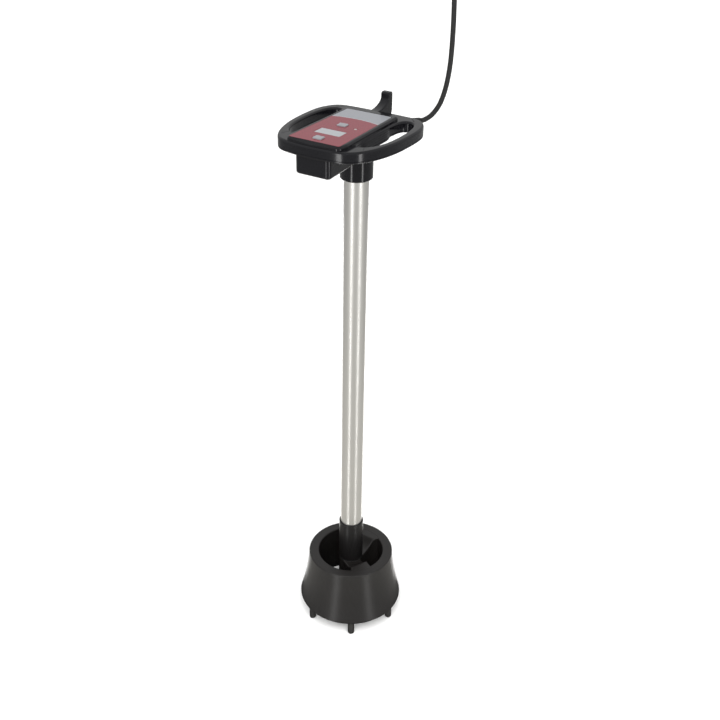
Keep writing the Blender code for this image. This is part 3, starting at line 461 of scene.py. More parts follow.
def glandTurn():
    sideways = Matrix.Rotation(math.radians(lead["sideways"]), 4, "Z")
    return sideways @ Matrix.Rotation(math.radians(-90 - lead["dip"]), 4, "X")


def leadPoints(steps):
    # the lead leaves the gland straight, dips and rises in one easy curve to its plug
    along = (glandTurn() @ Vector((0, 0, 1))).normalized()
    tip = inWorld(lead["glandBase"]) + along * (lead["glandReach"] + 0.3) * mm
    chosen = [tip, tip + along * lead["straight"] * mm]
    chosen += [inWorld(point) for point in lead["route"]]
    points = []
    for i in range(len(chosen) - 1):
        before, start, end = chosen[max(i - 1, 0)], chosen[i], chosen[i + 1]
        after = chosen[min(i + 2, len(chosen) - 1)]
        for step in range(steps):
            points.append(between(before, start, end, after, step / steps))
    return points + [chosen[-1]]


def makeLead():
    curve = bpy.data.curves.new("mainsLead", "CURVE")
    curve.dimensions = "3D"
    curve.bevel_depth = lead["diameter"] * mm / 2
    curve.bevel_resolution = 6
    curve.use_fill_caps = True
    route = leadPoints(5)
    spline = curve.splines.new("POLY")
    spline.points.add(len(route) - 1)
    for point, place in zip(spline.points, route):
        point.co = (*place, 1)
    spline.use_smooth = True
    cord = bpy.data.objects.new("mainsLead", curve)
    bpy.context.scene.collection.objects.link(cord)
    finish(cord, sheathRubber, node="mains_cord")
    length = sum((b - a).length for a, b in zip(route, route[1:]))
    print("mains lead", round(length * 1000, 1), "mm")
    return cord, route, length


def makeGland():
    # strain relief: a neck, a round shoulder, and a taper cut into rings so that it bends
    rings = 5
    first, last = 12.6, lead["glandReach"]
    profile = [(0, -5), (4.3, -5), (4.3, 9), (5.3, 10)]
    profile += arc((4.7, 11.4), 0.6, 0, 80, 3)
    for ring in range(rings):
        low = first + (last - first) * ring / rings
        high = first + (last - first) * (ring + 1) / rings
        width = 5.2 - 1.05 * ring / rings
        groove = low + (high - low) * 0.62
        profile += [
            (width, low), (width - 0.1, groove), (width - 0.75, groove + 0.25),
            (width - 0.8, high - 0.2)]
    profile += [(4.0, last - 0.1), (0, last)]
    gland = spinPiece("strainRelief", profile, 48, (0, 0, 0))
    gland.matrix_world = Matrix.Translation(inWorld(lead["glandBase"])) @ glandTurn()
    applyPlace(gland)
    smoothOver(gland, 50)
    finish(gland, sealRubber, node="cord_gland")


plug = {"body": 18.0, "length": 44.0, "neck": 6.0, "pin": 2.4, "pinOut": 19.0, "pinGap": 19.0}


def makePlug(foot):
    # round two-pin plug with a ribbed neck
    z = foot.z / mm + 0.3
    neck, body = plug["neck"], plug["body"]
    profile = [(0, z), (neck - 0.6, z), (neck, z + 0.8)]
    for ring in range(4):
        low = z + 2 + 2.4 * ring
        ridge, groove = neck + 0.2 * ring, neck - 0.7 + 0.2 * ring
        profile += [(ridge, low), (groove, low + 0.4), (groove, low + 1.2), (ridge, low + 1.6)]
    profile += [
        (neck + 1.2, z + 12.5), (body - 6.5, z + 17), (body - 2.4, z + 21.5), (body - 0.4, z + 26)]
    profile += [(body, z + 29), (body, z + plug["length"] - 2)]
    profile += arc((body - 1.6, z + plug["length"] - 1.6), 1.6, 0, 90, 4)
    profile += [(0, z + plug["length"])]
    made = spinPiece("mainsPlug", profile, 64, (foot.x, foot.y, 0))
    face = (z + plug["length"]) * mm
    for side in (-1, 1):
        bpy.ops.mesh.primitive_cylinder_add(
            vertices=32, radius=(plug["pin"] + 0.3) * mm, depth=16 * mm,
            location=(foot.x + side * plug["pinGap"] / 2 * mm, foot.y, face))
        cutAway(made, bpy.context.object)
    smoothOver(made, 50)
    finish(made, plugRubber, node="mains_plug")
    for number, side in enumerate((-1, 1), 1):
        end = z + plug["length"]
        radius, low, high = plug["pin"], end - 7.7, end + plug["pinOut"]
        shape = [(0, low), (radius, low), (radius, high - 1.6)]
        shape += arc((radius - 1.6, high - 1.6), 1.6, 0, 90, 5)
        place = (foot.x + side * plug["pinGap"] / 2 * mm, foot.y, 0)
        pin = spinPiece(f"plugPin{number}", shape + [(0, high)], 32, place)
        smoothOver(pin, 50)
        finish(pin, nickelPin, node=f"plug_pin_{number}")


leadPiece, leadRoute, leadLength = makeLead()
makeGland()
makePlug(leadRoute[-1])
print("lead, gland and plug made")


# heating bell

bell = {
    "bottom": 28.0,
    "height": 93.5,
    "bottomRadius": 85.5,
    "rimRadius": 70.4,
    "mouthRadius": 54.0,
    "edge": 2.4,
    "flare": 0.62,
    "hubRadius": 20.0,
    "hubDrop": 13.0,
    "armAngles": (90.0, -30.0),
    "armTangent": 18.5,
    "armShort": 8.0,
    "armDepth": 80.0,
    "armFlare": 10.0,
    "armShelf": 41.0,
    "armOverlap": 2.3,      # how far an arm runs into the bell's wall
    "hubBottom": 36.5,
    "straightMouth": 0.35,  # share of the height over which the mouth keeps its radius
    # the element's channel with its ring seat: (radius, height above the bell's bottom)
    "channel": (
        (63.0, 0), (64.5, 0), (64.5, 4), (66.5, 4), (62.5, 48), (73.5, 48), (77.5, 4),
        (79.5, 4), (79.5, 0),
    ),
    # the stepped bore that takes the hub's cap and the sleeve: (radius, height)
    "bore": (
        (0, 30), (18.2, 30), (18.2, 43.4), (15.5, 43.4), (15.5, 75.7), (17.8, 75.7),
        (17.8, 130), (0, 130),
    ),
}


def bellOutside(share):
    fall = 1 - share
    lean = bell["flare"] * fall**2 + (1 - bell["flare"]) * fall
    return bell["rimRadius"] + (bell["bottomRadius"] - bell["rimRadius"]) * lean


def makeArm(angle):
    # a block from hub to rim, sliced across, its top drawn down to the hub and its side flared
    top = bell["bottom"] + bell["height"]
    start, end = 4.0, bell["mouthRadius"] + 8
    width = bell["armTangent"] + bell["armShort"]
    bpy.ops.object.select_all(action="DESELECT")
    bpy.ops.mesh.primitive_cube_add(size=1, location=(0, 0, 0))
    arm = nameIt("arm")
    arm.scale = ((end - start) * mm, width * mm, bell["armDepth"] * mm)
    middle = (bell["armShort"] - bell["armTangent"]) / 2
    arm.location = ((start + end) / 2 * mm, middle * mm, (top - bell["armDepth"] / 2 - 0.4) * mm)
    applyPlace(arm)
    bpy.ops.object.mode_set(mode="EDIT")
    cuts = 28
    for cut in range(1, cuts):
        bpy.ops.mesh.select_all(action="SELECT")
        bpy.ops.mesh.bisect(
            plane_co=((start + (end - start) * cut / cuts) * mm, 0, 0), plane_no=(1, 0, 0))
    bpy.ops.object.mode_set(mode="OBJECT")
    shoulder, shelf, flareEnd = bell["hubRadius"] + 0.8, bell["armShelf"], bell["mouthRadius"] - 4
    for vertex in arm.data.vertices:
        reach = vertex.co.x / mm
        fall = min(1.0, max(0.0, (shelf - reach) / (shelf - shoulder)))
        if vertex.co.z > (top - 1) * mm:
            vertex.co.z -= (bell["hubDrop"] - 0.1) * (1 - (1 - fall) ** 1.8) * mm
        nearRim = min(1.0, max(0.0, (reach - shoulder) / (flareEnd - shoulder)))
        if vertex.co.y < 0:
            vertex.co.y -= bell["armFlare"] * nearRim**3 * mm
    modify(
        arm, "BEVEL", width=3 * mm, segments=4, limit_method="ANGLE", angle_limit=math.radians(60))
    arm.rotation_euler.z = math.radians(angle)
    arm.location = (0, axisY, 0)
    applyPlace(arm)
    closeUp(arm)
    # its outer end stops inside the bell's wall, short of the element's channel
    mouth = bell["mouthRadius"]
    inside = mouth + bell["armOverlap"]
    wall = [(0, 30), (mouth + 11, 30), (inside, top - 33), (inside, top + 3), (0, top + 3)]
    limit = spinPiece("limit", wall, 90)
    modify(arm, "BOOLEAN", operation="INTERSECT", object=limit)
    bpy.data.objects.remove(limit)
    return arm


def makeBell():
    low, high = bell["bottom"], bell["bottom"] + bell["height"]
    rim, mouth, edge = bell["rimRadius"], bell["mouthRadius"], bell["edge"]
    steps = 22
    start, rise = low + 2.5, high - low - 2.5 - edge
    outer = [(bellOutside(i / steps), start + rise * i / steps) for i in range(steps)]
    profile = [(bell["bottomRadius"] - 1.8, low)] + outer
    profile += arc((rim - edge, high - edge), edge, 0, 90, 6)
    profile += arc((mouth + edge, high - edge), edge, 90, 180, 6)
    profile += [(mouth, high - bell["straightMouth"] * bell["height"])]
    profile += [(radius, low + above) for radius, above in bell["channel"]]
    body = spinPiece("castBell", profile, 128)
    for angle in bell["armAngles"]:
        joinOn(body, makeArm(angle))
    hubTop = high - bell["hubDrop"]
    base, side = bell["hubBottom"], bell["hubRadius"]
    hub = [(0, base), (side - 0.6, base), (side, base + 0.6), (side, hubTop - 1)]
    hub += [(side - 0.8, hubTop), (0, hubTop)]
    joinOn(body, spinPiece("hub", hub, 96))
    cutAway(body, spinPiece("bore", bell["bore"], 96))
    smoothOver(body, 42)
    finish(body, casting, node="heater_body")


feet = {"circle": 75.0, "turn": 2.5, "radius": 5.5, "top": 27.7, "stud": 2.5, "studTop": 39.0}


def makeFeet():
    # one pin with a domed, worn tip is turned and then copied round the bell
    radius = feet["radius"]
    profile = [(0, 0), (2.4, 0)] + arc((radius - 3.0, 3.0), 2.9, -80, 0, 7)
    top, stud, studTop = feet["top"], feet["stud"], feet["studTop"]
    profile += [(radius, 12), (radius, top - 1.2), (radius - 0.4, top), (stud, top)]
    profile += [(stud, studTop - 0.4), (stud - 0.4, studTop), (0, studTop)]
    first = spinPiece("footPin1", profile, 40, (0, 0, 0))
    smoothOver(first, 50)
    for number in range(1, 7):
        pin = first if number == 1 else first.copy()
        if number > 1:
            pin.data = first.data.copy()
            pin.name = pin.data.name = f"footPin{number}"
            bpy.context.scene.collection.objects.link(pin)
    for number in range(1, 7):
        pin = bpy.data.objects[f"footPin{number}"]
        turn = math.radians(feet["turn"] + 60 * (number - 1))
        circle = feet["circle"] * mm
        pin.location = (circle * math.cos(turn), axisY + circle * math.sin(turn), 0)
        applyPlace(pin)
        finish(pin, footNylon, node=f"foot_{number}")


makeBell()
makeFeet()
print("bell and feet made")


# tube, sleeve and collar

stem = {
    "tubeRadius": 17.5,
    "wall": 2.0,
    "bore": 17.8,
    "sleeveRadius": 20.0,
    "sleeveTop": 185.5,
    "collarRadius": 23.0,
    "sealSeat": (19.8, 2.3),    # radius and depth, at the collar's top
    "screwHole": 2.3,
}


def makeStem():
    low, high = tubeLow.z / mm, tubeHigh.z / mm
    outer, inner = stem["tubeRadius"], stem["tubeRadius"] - stem["wall"]
    profile = [(inner + 0.4, low), (outer - 0.4, low), (outer, low + 0.4)]
    profile += [(outer, low + (high - low) * i / 12) for i in range(1, 12)]
    profile += [
        (outer, high - 0.4), (outer - 0.4, high), (inner + 0.4, high), (inner, high - 0.4),
        (inner, low + 0.4)]
    tube = spinPiece("stemTube", profile, 128)
    smoothOver(tube, 40)
    finish(tube, aluminium, node="tube")

    low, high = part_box("lower_sleeve")[0].z / mm, stem["sleeveTop"]
    bore, outer = stem["bore"], stem["sleeveRadius"]
    profile = [
        (bore, low), (outer - 0.5, low), (outer, low + 0.5), (outer, low + 20), (outer, high - 24)]
    profile += [(outer - 0.15, high - 6)]
    profile += arc((outer - 1.35, high - 1.2), 1.2, 0, 90, 5) + [(bore, high)]
    sleeve = spinPiece("lowerSleeve", profile, 96)
    smoothOver(sleeve, 40)
    finish(sleeve, blackNylon, node="lower_sleeve")

    low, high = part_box("collar")[0].z / mm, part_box("collar")[1].z / mm
    outer = stem["collarRadius"]
    profile = [(bore, low)] + arc((outer - 2, low + 2), 2, -90, 0, 6)
    profile += [(outer, high - 0.5), (outer - 0.5, high)]
    seat, depth = stem["sealSeat"]
    profile += [(seat, high), (seat, high - depth), (bore, high - depth)]
    collar = spinPiece("headCollar", profile, 96)
    middle = (low + high) / 2 * mm
    bpy.ops.mesh.primitive_cylinder_add(
        vertices=40, radius=stem["screwHole"] * mm, depth=12 * mm, rotation=(math.pi / 2, 0, 0),
        location=(0, axisY + outer * mm, middle))
    cutAway(collar, bpy.context.object)
    smoothOver(collar, 40)
    finish(collar, glossAbs, node="collar")


makeStem()
print("tube, sleeve and collar made")


# control head

shellLow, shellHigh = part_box("upper_shell")
head = {
    "front": (axisY - shellLow.y) / mm,
    "rear": (shellHigh.y - axisY) / mm,
    "half": shellHigh.x / mm,
    "seam": shellLow.z / mm,
    "panelTop": shellHigh.z / mm,
    "ringTop": shellHigh.z / mm - 5.6,
    "bottom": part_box("lower_shell")[0].z / mm,
    "plateBottom": 848.5,
    "rounding": 3.2,
    "wall": 2.5,
    "grip": {"inner": 43.5, "outer": 73.0, "front": -80.0, "rear": 42.0},
    "panelHalfFront": 43.2,
    "panelHalfRear": 40.6,
    "panelFront": -112.4,
    "panelRear": 45.0,
    "boxHalf": 26.5,
    "boxFront": 112.0,
    "slopeStart": -107.6,   # from here the panel's front runs down to the ring
    "roofDepth": 3.3,       # thickness of the ring's roof
    "label": {"front": -107.0, "rear": 32.0, "halfFront": 38.0, "halfRear": 34.6},
    "ribs": {"count": 4, "start": 0.05, "pitch": 2.6, "height": 2.7, "reach": 3.6, "less": 0.8},
    "hookSlot": {"width": 13.6, "front": 46.7, "height": 12.5},
    "screws": ((43, -95), (-43, -95), (37, -46), (-37, -46), (28, 52), (-28, 52)),
    "vents": {"count": 4, "size": (3, 2.6, 4.4), "side": 26.2, "front": -100, "pitch": 5.4},
    "lug": {"size": (5.5, 3.5, 4.5), "side": -30, "front": -102},
    # slanting joints, the same on both sides: x, y, length and turn
    "joints": ((54.0, 54.5, 24.0, -50.0), (57.5, -78.5, 22.0, -68.0)),
    "jointWidth": 0.9,
    "jointDepth": 1.8,
}


def scaled(points):
    return [Vector((x * mm, y * mm)) for x, y in points]


def headLoop():
    side, front, rear = head["half"], -head["front"], head["rear"]
    right = [
        (0, front), (0.47 * side, 0.965 * front), (0.69 * side, 0.88 * front),
        (0.865 * side, 0.67 * front),
        (0.97 * side, 0.375 * front), (side, 0.045 * front), (0.98 * side, 0.43 * rear),
        (0.875 * side, 0.78 * rear), (0.71 * side, 0.955 * rear), (0.39 * side, rear), (0, rear),
    ]
    left = [(-x, y) for x, y in reversed(right) if x > 1e-6]
    return smoothLoop(scaled(right + left), 6)


def gripLoop(side):
    grip = head["grip"]
    width, length = grip["outer"] - grip["inner"], grip["rear"] - grip["front"]
    shares = (
        (0.18, 0.01), (0.61, 0.08), (0.89, 0.25), (1.00, 0.51), (0.95, 0.77), (0.77, 0.94),
        (0.40, 1.00), (0.10, 0.93), (0.00, 0.70), (-0.01, 0.33), (0.02, 0.08),
    )
    points = [(side * (grip["inner"] + width * a), grip["front"] + length * b) for a, b in shares]
    return smoothLoop(scaled(points if side > 0 else points[::-1]), 7)


def labelLoop(grow=0.0, radius=3.0):
    label = head["label"]
    front, rear = label["front"] - grow, label["rear"] + grow
    wide, narrow = label["halfFront"] + grow, label["halfRear"] + grow
    corners = [(-wide, front), (wide, front), (narrow, rear), (-narrow, rear)]
    return cornerLoop(scaled(corners), radius * mm)


def panelLoop():
    wide, narrow = head["panelHalfFront"], head["panelHalfRear"]
    front, rear = head["panelFront"], head["panelRear"]
    corners = [
        (-0.92 * wide, front + 2.6), (0, front), (0.92 * wide, front + 2.6), (wide, front + 18),
        (narrow, rear - 2.5), (0, rear), (-narrow, rear - 2.5), (-wide, front + 18),
    ]
    return cornerLoop(scaled(corners), 7 * mm)


def boxLoop(inset=0.0, rear=-4.0):
    front, wide = -head["boxFront"] + inset, head["boxHalf"] - inset
    corners = [(-wide, front), (wide, front), (wide - 5, rear), (-wide + 5, rear)]
    return cornerLoop(scaled(corners), 6 * mm)


def blockTool(size, centre, turn=0.0, bevel=0.0):
    # a rounded block that is used up as a cutter
    bpy.ops.object.select_all(action="DESELECT")
    bpy.ops.mesh.primitive_cube_add(
        size=1, location=(centre[0] * mm, centre[1] * mm + axisY, centre[2] * mm))
    tool = bpy.context.object
    tool.scale = [side * mm for side in size]
    tool.rotation_euler.z = math.radians(turn)
    applyPlace(tool)
    if bevel:
        modify(tool, "BEVEL", width=bevel * mm, segments=4, limit_method="ANGLE")
    return tool


keys = {
    "size": (13.0, 10.5),
    "flange": 3.2,          # how much wider the flange is than the cap
    "places": {"front_key": (-1.0, -93.5), "rear_key": (-2.0, -34.0)},
    "window": (38.0, 19.0),
    "windowPlace": (-1.0, -65.5),
    "lampPlace": (20.0, -38.0),
    "lampRadius": 2.5,
}


def roundBox(name, size, place, low, high, radius, rounding=0.0, grow=0.0):
    half = (size[0] / 2, size[1] / 2)
    signs = ((-1, -1), (1, -1), (1, 1), (-1, 1))
    corners = [(place[0] + sx * half[0], place[1] + sy * half[1]) for sx, sy in signs]
    loop = cornerLoop(scaled(corners), radius * mm)
    return flatPlate(name, [loop], low * mm, high * mm, rounding * mm, grow * mm)


def cutPanelHoles(piece):
    for place in keys["places"].values():
        cutAway(piece, roundBox("hole", keys["size"], place, 862, 872, 1.5, grow=0.3))
    cutAway(piece, roundBox("hole", keys["window"], keys["windowPlace"], 862, 872, 1.2, grow=0.3))
    x, y = keys["lampPlace"]
    bpy.ops.mesh.primitive_cylinder_add(
        vertices=48, radius=(keys["lampRadius"] + 0.3) * mm, depth=12 * mm,
        location=(x * mm, y * mm + axisY, 0.867))
    cutAway(piece, bpy.context.object)


def gripLedge(side, low, high, reach):
    # the panel side of a grip leans out towards its foot in ribbed steps, as far back as the tube
    inner, front, rear = head["grip"]["inner"] * mm, -64 * mm, 12 * mm
    ledge = []
    for step in range(25):
        share = step / 24
        y = front + (rear - front) * share
        fade = min(1.0, 6 * share, 4 * (1 - share))
        ledge.append(Vector((side * (inner + reach * mm * fade * (2 - fade)), y)))
    back = [Vector((side * (inner - 1.2 * mm), rear)), Vector((side * (inner - 1.2 * mm), front))]
    loop = ledge + back
    return flatPlate("ledge", [loop if side > 0 else loop[::-1]], low * mm, high * mm, 0.3 * mm)


def makeUpperShell():
    loops = [headLoop(), gripLoop(1), gripLoop(-1)]
    seam, ringTop, panelTop = head["seam"], head["ringTop"], head["panelTop"]
    shell = flatPlate("upperShell", loops, (seam - 9) * mm, ringTop * mm, head["rounding"] * mm)
    sliceBelow(shell, seam * mm)
    panel = flatPlate("panel", [panelLoop()], (ringTop - 5) * mm, panelTop * mm, 3.6 * mm)
    sliceBelow(panel, (ringTop - 0.9) * mm)
    joinOn(shell, panel)
    # the panel's front runs down to the ring in a slope
    slope = math.atan2(panelTop - ringTop, head["front"] + head["slopeStart"])
    bpy.ops.object.select_all(action="DESELECT")
    bpy.ops.mesh.primitive_cube_add(size=1, location=(0, 0, 0))
    tool = bpy.context.object
    tool.scale = (2 * head["panelHalfFront"] * mm, 40 * mm, 12 * mm)
    tilt = Matrix.Rotation(slope, 4, "X")
    edge = Vector((0, head["slopeStart"] * mm + axisY, panelTop * mm))
    shift = Matrix.Translation((0, -10 * mm, 6 * mm))
    tool.matrix_world = Matrix.Translation(edge) @ tilt @ shift @ Matrix.Diagonal((*tool.scale, 1))
    applyPlace(tool)
    cutAway(shell, tool)
    hollow = flatPlate(
        "hollow", loops, (seam - 2) * mm, (ringTop - head["roofDepth"]) * mm,
        grow=-head["wall"] * mm)
    cutAway(shell, hollow)
    roof = panelTop - head["wall"]
    cutAway(shell, flatPlate("roofSpace", [labelLoop(-1.5)], (ringTop - 6) * mm, roof * mm))
    cutAway(
        shell, flatPlate("recess", [labelLoop(0.3)], (panelTop - 0.4) * mm, (panelTop + 1) * mm))
    cutPanelHoles(shell)
    ribs, slot = head["ribs"], head["hookSlot"]
    for side in (-1, 1):
        for rib in range(ribs["count"]):
            low = seam + ribs["start"] + ribs["pitch"] * rib
            reach = ribs["reach"] - ribs["less"] * rib
            joinOn(shell, gripLedge(side, low, low + ribs["height"], reach))
    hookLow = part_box("hanging_hook")[0].z / mm
    slotLength = head["rear"] + 5 - slot["front"]
    middle = (0, slot["front"] + slotLength / 2, hookLow - 0.3 + slot["height"] / 2)
    cutAway(shell, blockTool((slot["width"], slotLength, slot["height"]), middle))
    bore = [(0, -5.3), (lead["holeRadius"], -5.3), (lead["holeRadius"], 18), (0, 18)]
    hole = spinPiece("glandHole", bore, 48, (0, 0, 0))
    hole.matrix_world = Matrix.Translation(inWorld(lead["glandBase"])) @ glandTurn()
    applyPlace(hole)
    cutAway(shell, hole)
    # the grip inserts meet the ring in four slanting joints
    for x, y, length, turn in head["joints"]:
        for side in (-1, 1):
            size = (length, head["jointWidth"], head["jointDepth"])
            cutAway(shell, blockTool(size, (side * x, y, ringTop), side * turn))
    smoothOver(shell, 42)
    finish(shell, glossAbs, node="upper_shell")


def makeLowerShell():
    loops = [headLoop(), gripLoop(1), gripLoop(-1)]
    low, plateLow, plateTop = head["bottom"], head["plateBottom"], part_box("lower_shell")[1].z / mm
    shell = flatPlate("lowerShell", loops, plateLow * mm, plateTop * mm, 0.8 * mm)
    housing = flatPlate("housing", [boxLoop()], low * mm, (plateLow + 6) * mm, 3.2 * mm)
    sliceTop = blockTool((200, 260, 10), (0, 0, plateLow + 1 + 5))
    cutAway(housing, sliceTop)
    joinOn(shell, housing)
    socket = [(0, low), (21.5, low), (23, low + 1.5), (23, plateLow + 1), (0, plateLow + 1)]
    joinOn(shell, spinPiece("socket", socket, 96))
    well = boxLoop(head["wall"], -24)
    cutAway(shell, flatPlate("well", [well], (low + head["wall"]) * mm, (plateTop + 1) * mm))
    bore = [(0, low - 1), (17.8, low - 1), (17.8, plateTop + 1), (0, plateTop + 1)]
    cutAway(shell, spinPiece("bore", bore, 96))
    sink = [(0, plateLow - 1), (3.1, plateLow - 1), (3.1, plateLow + 1.5), (1.8, plateLow + 1.5)]
    sink += [(1.8, plateTop + 1), (0, plateTop + 1)]
    for x, y in head["screws"]:
        place = (x * mm, y * mm + axisY, 0)
        cutAway(shell, spinPiece("sink", sink, 32, place))
    for side in (-1, 1):
        joinOn(shell, gripLedge(side, plateLow + 0.02, plateTop - 0.02, 4.4))
    # a row of short cooling slots high on each side of the electronics box
    vents, lug = head["vents"], head["lug"]
    for side in (-1, 1):
        for row in range(vents["count"]):
            place = (side * vents["side"], vents["front"] + vents["pitch"] * row, plateLow - 3.2)
            cutAway(shell, blockTool(vents["size"], place, 0, 0.3))
    # locating lug under the ring, beside the box
    joinOn(shell, blockTool(lug["size"], (lug["side"], lug["front"], plateLow - 1), 0, 0.6))
    smoothOver(shell, 42)
    finish(shell, glossAbs, node="lower_shell")


def makeLabelAndWindow():
    top = head["panelTop"]
    label = flatPlate("labelFilm", [labelLoop()], (top - 0.35) * mm, top * mm, 0.08 * mm)
    cutPanelHoles(label)
    smoothOver(label, 30)
    finish(label, film, node="label")
    window = roundBox(
        "displayWindow", keys["window"], keys["windowPlace"], top - 1.3, top - 0.1, 1.0, 0.25)
    smoothOver(window, 50)
    finish(window, windowAcrylic, node="display_window")
    x, y = keys["lampPlace"]
    low, high = (corner.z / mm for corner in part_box("indicator_lamp"))
    radius = keys["lampRadius"]
    shape = [(0, low), (radius, low), (radius, high - 0.9), (radius - 0.35, high - 0.4)]
    shape += [(radius - 1.1, high - 0.08), (0, high)]
    lamp = spinPiece("indicatorLens", shape, 48, (x * mm, y * mm + axisY, 0))
    smoothOver(lamp, 50)
    finish(lamp, lampLens, node="indicator_lamp")


def makeKeys():
    # a cap with a soft crown over a thin flange that keeps the key in the panel
    for node, (x, y) in keys["places"].items():
        low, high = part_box(node)[0].z / mm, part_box(node)[1].z / mm
        name = node.replace("_key", "Key")
        cap = roundBox(name, keys["size"], (x, y), low + 0.5, high, 1.5, 0.8)
        selectOnly(cap)
        bpy.ops.object.mode_set(mode="EDIT")
        bpy.ops.mesh.select_all(action="DESELECT")
        bpy.ops.object.mode_set(mode="OBJECT")
        for face in cap.data.polygons:
            face.select = face.normal.z > 0.99 and face.center.z > (high - 0.05) * mm
        bpy.ops.object.mode_set(mode="EDIT")
        bpy.ops.mesh.inset(thickness=1.5 * mm, depth=-0.25 * mm)
        bpy.ops.object.mode_set(mode="OBJECT")
        size = (keys["size"][0] + keys["flange"], keys["size"][1] + keys["flange"])
        joinOn(cap, roundBox("flange", size, (x, y), low, low + 1.0, 1.0, 0.2))
        smoothOver(cap, 45)
        finish(cap, keySilicone, body=node, node=node)


hook = {
    "width": 13.4,
    "tipThick": 10.6,
    "rear": 84.0,
    "footFront": 47.0,
    "footLow": 853.5,
    "tipRise": 18.0,
    "edge": 1.6,
    "toe": 43.6,
}


def makeHook():
    # side outline drawn flat, given its width, then its edges rounded
    tip = head["panelTop"] + hook["tipRise"]
    rear, inner, foot = hook["rear"], hook["rear"] - hook["tipThick"], hook["footLow"]
    throat = head["panelTop"] - 0.7
    outline = [(hook["toe"], throat - 2.4), (hook["footFront"], throat - 2.8)]
    outline += [(hook["footFront"], foot), (rear - 8, foot)]
    outline += arc((rear - 8, foot + 8), 8, -75, 0, 6)
    outline += arc((rear - 3, tip - 3), 3, 0, 80, 5)
    outline += arc((inner + 3, tip - 3), 3, 100, 180, 5)
    sweep, reach = tip - 7 - throat, inner - hook["toe"]
    for step in range(1, 15):
        turn = math.pi / 2 * step / 14
        outline.append(
            (inner - reach * (1 - math.cos(turn)), throat + sweep * (1 - math.sin(turn))))
    curve = bpy.data.curves.new("hangingHook", "CURVE")
    curve.dimensions = "2D"
    curve.fill_mode = "BOTH"
    curve.extrude = (hook["width"] / 2 - hook["edge"]) * mm
    curve.bevel_depth = hook["edge"] * mm
    curve.bevel_resolution = 4
    curve.offset = -hook["edge"] * mm
    spline = curve.splines.new("POLY")
    spline.points.add(len(outline) - 1)
    for point, (y, z) in zip(spline.points, outline):
        point.co = (y * mm, z * mm, 0, 1)
    spline.use_cyclic_u = True
    piece = bpy.data.objects.new("hangingHook", curve)
    bpy.context.scene.collection.objects.link(piece)
    selectOnly(piece)
    bpy.ops.object.convert(target="MESH")
    piece = nameIt("hangingHook")
    # the drawing's x and y become the model's y and z
    piece.matrix_world = Matrix(((0, 0, 1, 0), (1, 0, 0, axisY), (0, 1, 0, 0), (0, 0, 0, 1)))
    applyPlace(piece)
    closeUp(piece)
    smoothOver(piece, 50)
    finish(piece, glossAbs, node="hanging_hook")


makeUpperShell()
makeLowerShell()
makeLabelAndWindow()
makeKeys()
makeHook()
print("control head made")


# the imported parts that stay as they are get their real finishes

carried = {
    casting: ["bottom_ring", "hub_cap"],
    elementSteel: ["heating_element", "temperature_probe", "thermal_cutout"],
    sealRubber: ["hub_cap_seal", "sleeve_seal", "collar_seal", "shell_gasket"],
    glassSleeving: ["lead_bundle"],
    zincSteel: (
        ["collar_screw"] + [f"shell_screw_{i}" for i in range(1, 7)]
        + [f"board_screw_{i}" for i in range(1, 5)]),
    blackNylon: ["display_module", "front_switch", "rear_switch", "power_module"],
    solderMask: ["control_board"],
    relayCase: ["relay"],
    whiteCeramic: ["fuse", "terminal_block"],
}
for material, names in carried.items():
    for name in names:
        nodes[name].data.materials.clear()
        nodes[name].data.materials.append(material)


# floor and light

studio = {
    "floorColour": "f4f4f3",
    "downward": 0.66,       # light met by reflections that go down, level and up
    "level": 0.38,
    "upward": 0.62,
    "above": 3.5,
    "aboveTilt": 38.0,
    "stripLeft": {
        "azimuth": -34.0, "distance": 1.7, "size": (0.24, 2.6), "height": -0.3, "power": 14.0},
    "stripRight": {
        "azimuth": 42.0, "distance": 1.7, "size": (0.22, 2.6), "height": -0.3, "power": 12.0},
    "rimLeft": {
        "azimuth": -161.0, "distance": 1.9, "size": (1.0, 1.9), "height": -1.05, "power": 20.0},
    "rimRight": {
        "azimuth": 161.0, "distance": 1.9, "size": (1.0, 1.9), "height": -1.05, "power": 22.0},
}


def addFloor():
    bpy.ops.object.select_all(action="DESELECT")
    bpy.ops.mesh.primitive_plane_add(size=30, location=(0, 0, -0.0005))
    floor = nameIt("studioFloor")
    material, shader = newMaterial("paperSweep")
    shader.inputs["Base Color"].default_value = linear(studio["floorColour"])
    shader.inputs["Roughness"].default_value = 0.9
    floor.data.materials.append(material)
    floor.visible_glossy = False
    # painted shade: a black card under the bell, seen only in reflections, keeps the light below
    # out of the mouth
    bpy.ops.mesh.primitive_circle_add(
        vertices=64, radius=0.13, fill_type="NGON", location=(0, axisY, -0.0003))
    card = nameIt("paintedShadeCard")
    # painted shade: near-black with no reflection, in place of the floor in the bell's shadow
    material, shadeShader = newMaterial("paintedShadeBlack")
    shadeShader.inputs["Base Color"].default_value = (0.003, 0.003, 0.003, 1)
    shadeShader.inputs["Specular IOR Level"].default_value = 0.0
    card.data.materials.append(material)
    card.visible_camera = card.visible_diffuse = card.visible_shadow = False


def addPanelLight(name, azimuth, distance, size, height, power):
    # a tall soft box that faces the heater; azimuth counts from the camera's side
    light = bpy.data.lights.new(name, "AREA")
    light.shape = "RECTANGLE"
    light.size, light.size_y = size
    light.energy = power
    lamp = bpy.data.objects.new(name, light)
    bpy.context.scene.collection.objects.link(lamp)
    turn = math.radians(view["heading"] + azimuth)
    lamp.location = (math.sin(turn) * distance, axisY - math.cos(turn) * distance, height)
    lamp.rotation_euler = (math.pi / 2, 0, turn)
    lamp.visible_camera = False


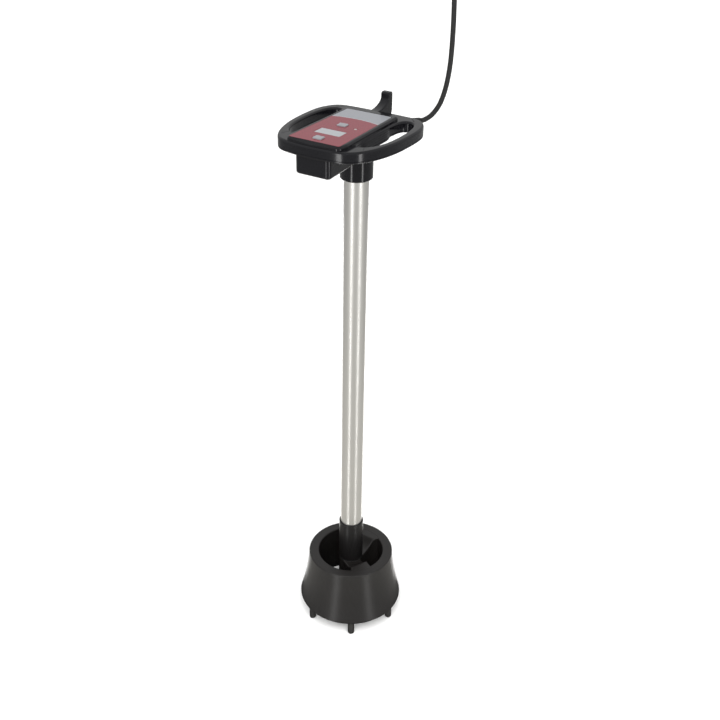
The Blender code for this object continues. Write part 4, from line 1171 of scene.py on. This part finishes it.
def addLight():
    for name in ("stripLeft", "stripRight", "rimLeft", "rimRight"):
        setup = studio[name]
        addPanelLight(
            name, setup["azimuth"], setup["distance"], setup["size"], setup["height"],
            setup["power"])
    # an even light over the camera that only the matt side of a surface answers to
    above = bpy.data.lights.new("ceiling", "SUN")
    above.energy = studio["above"]
    above.angle = math.radians(40)
    lamp = bpy.data.objects.new("ceiling", above)
    bpy.context.scene.collection.objects.link(lamp)
    lamp.location = (0, 0, 3)
    lamp.rotation_euler = (math.radians(studio["aboveTilt"]), 0, math.radians(view["heading"]))
    lamp.visible_glossy = False
    world = bpy.data.worlds.new("studio")
    bpy.context.scene.world = world
    world.use_nodes = True
    tree = world.node_tree
    tree.nodes.clear()
    seen = addNode(tree, "ShaderNodeLightPath")
    white = addNode(tree, "ShaderNodeBackground", {"Color": (1, 1, 1, 1), "Strength": 1.0})
    # off camera the room is brighter below and above than at eye level
    around = addNode(tree, "ShaderNodeTexCoord").outputs["Generated"]
    rise = addNode(tree, "ShaderNodeSeparateXYZ", None, {"Vector": around}).outputs["Z"]
    share = addNode(
        tree, "ShaderNodeMapRange", {"From Min": -1.0, "From Max": 1.0}, {"Value": rise})
    ramp = addNode(tree, "ShaderNodeValToRGB", None, {"Fac": share.outputs["Result"]})
    stops = ramp.color_ramp.elements
    stops[0].position, stops[0].color = 0.2, [studio["downward"] * c for c in (1, 0.97, 0.9)] + [1]
    stops[1].position, stops[1].color = 0.3, [studio["level"]] * 3 + [1]
    for place, strength in ((0.52, studio["level"]), (0.6, studio["upward"])):
        stops.new(place).color = [strength] * 3 + [1]
    dim = addNode(tree, "ShaderNodeBackground", {"Strength": 1.0}, {"Color": ramp.outputs["Color"]})
    both = addNode(tree, "ShaderNodeMixShader", None, {0: seen.outputs["Is Camera Ray"]})
    tree.links.new(dim.outputs["Background"], both.inputs[1])
    tree.links.new(white.outputs["Background"], both.inputs[2])
    addNode(tree, "ShaderNodeOutputWorld", None, {"Surface": both.outputs["Shader"]})
    bpy.context.scene.view_settings.view_transform = "Standard"


addFloor()
addLight()
print("studio set")
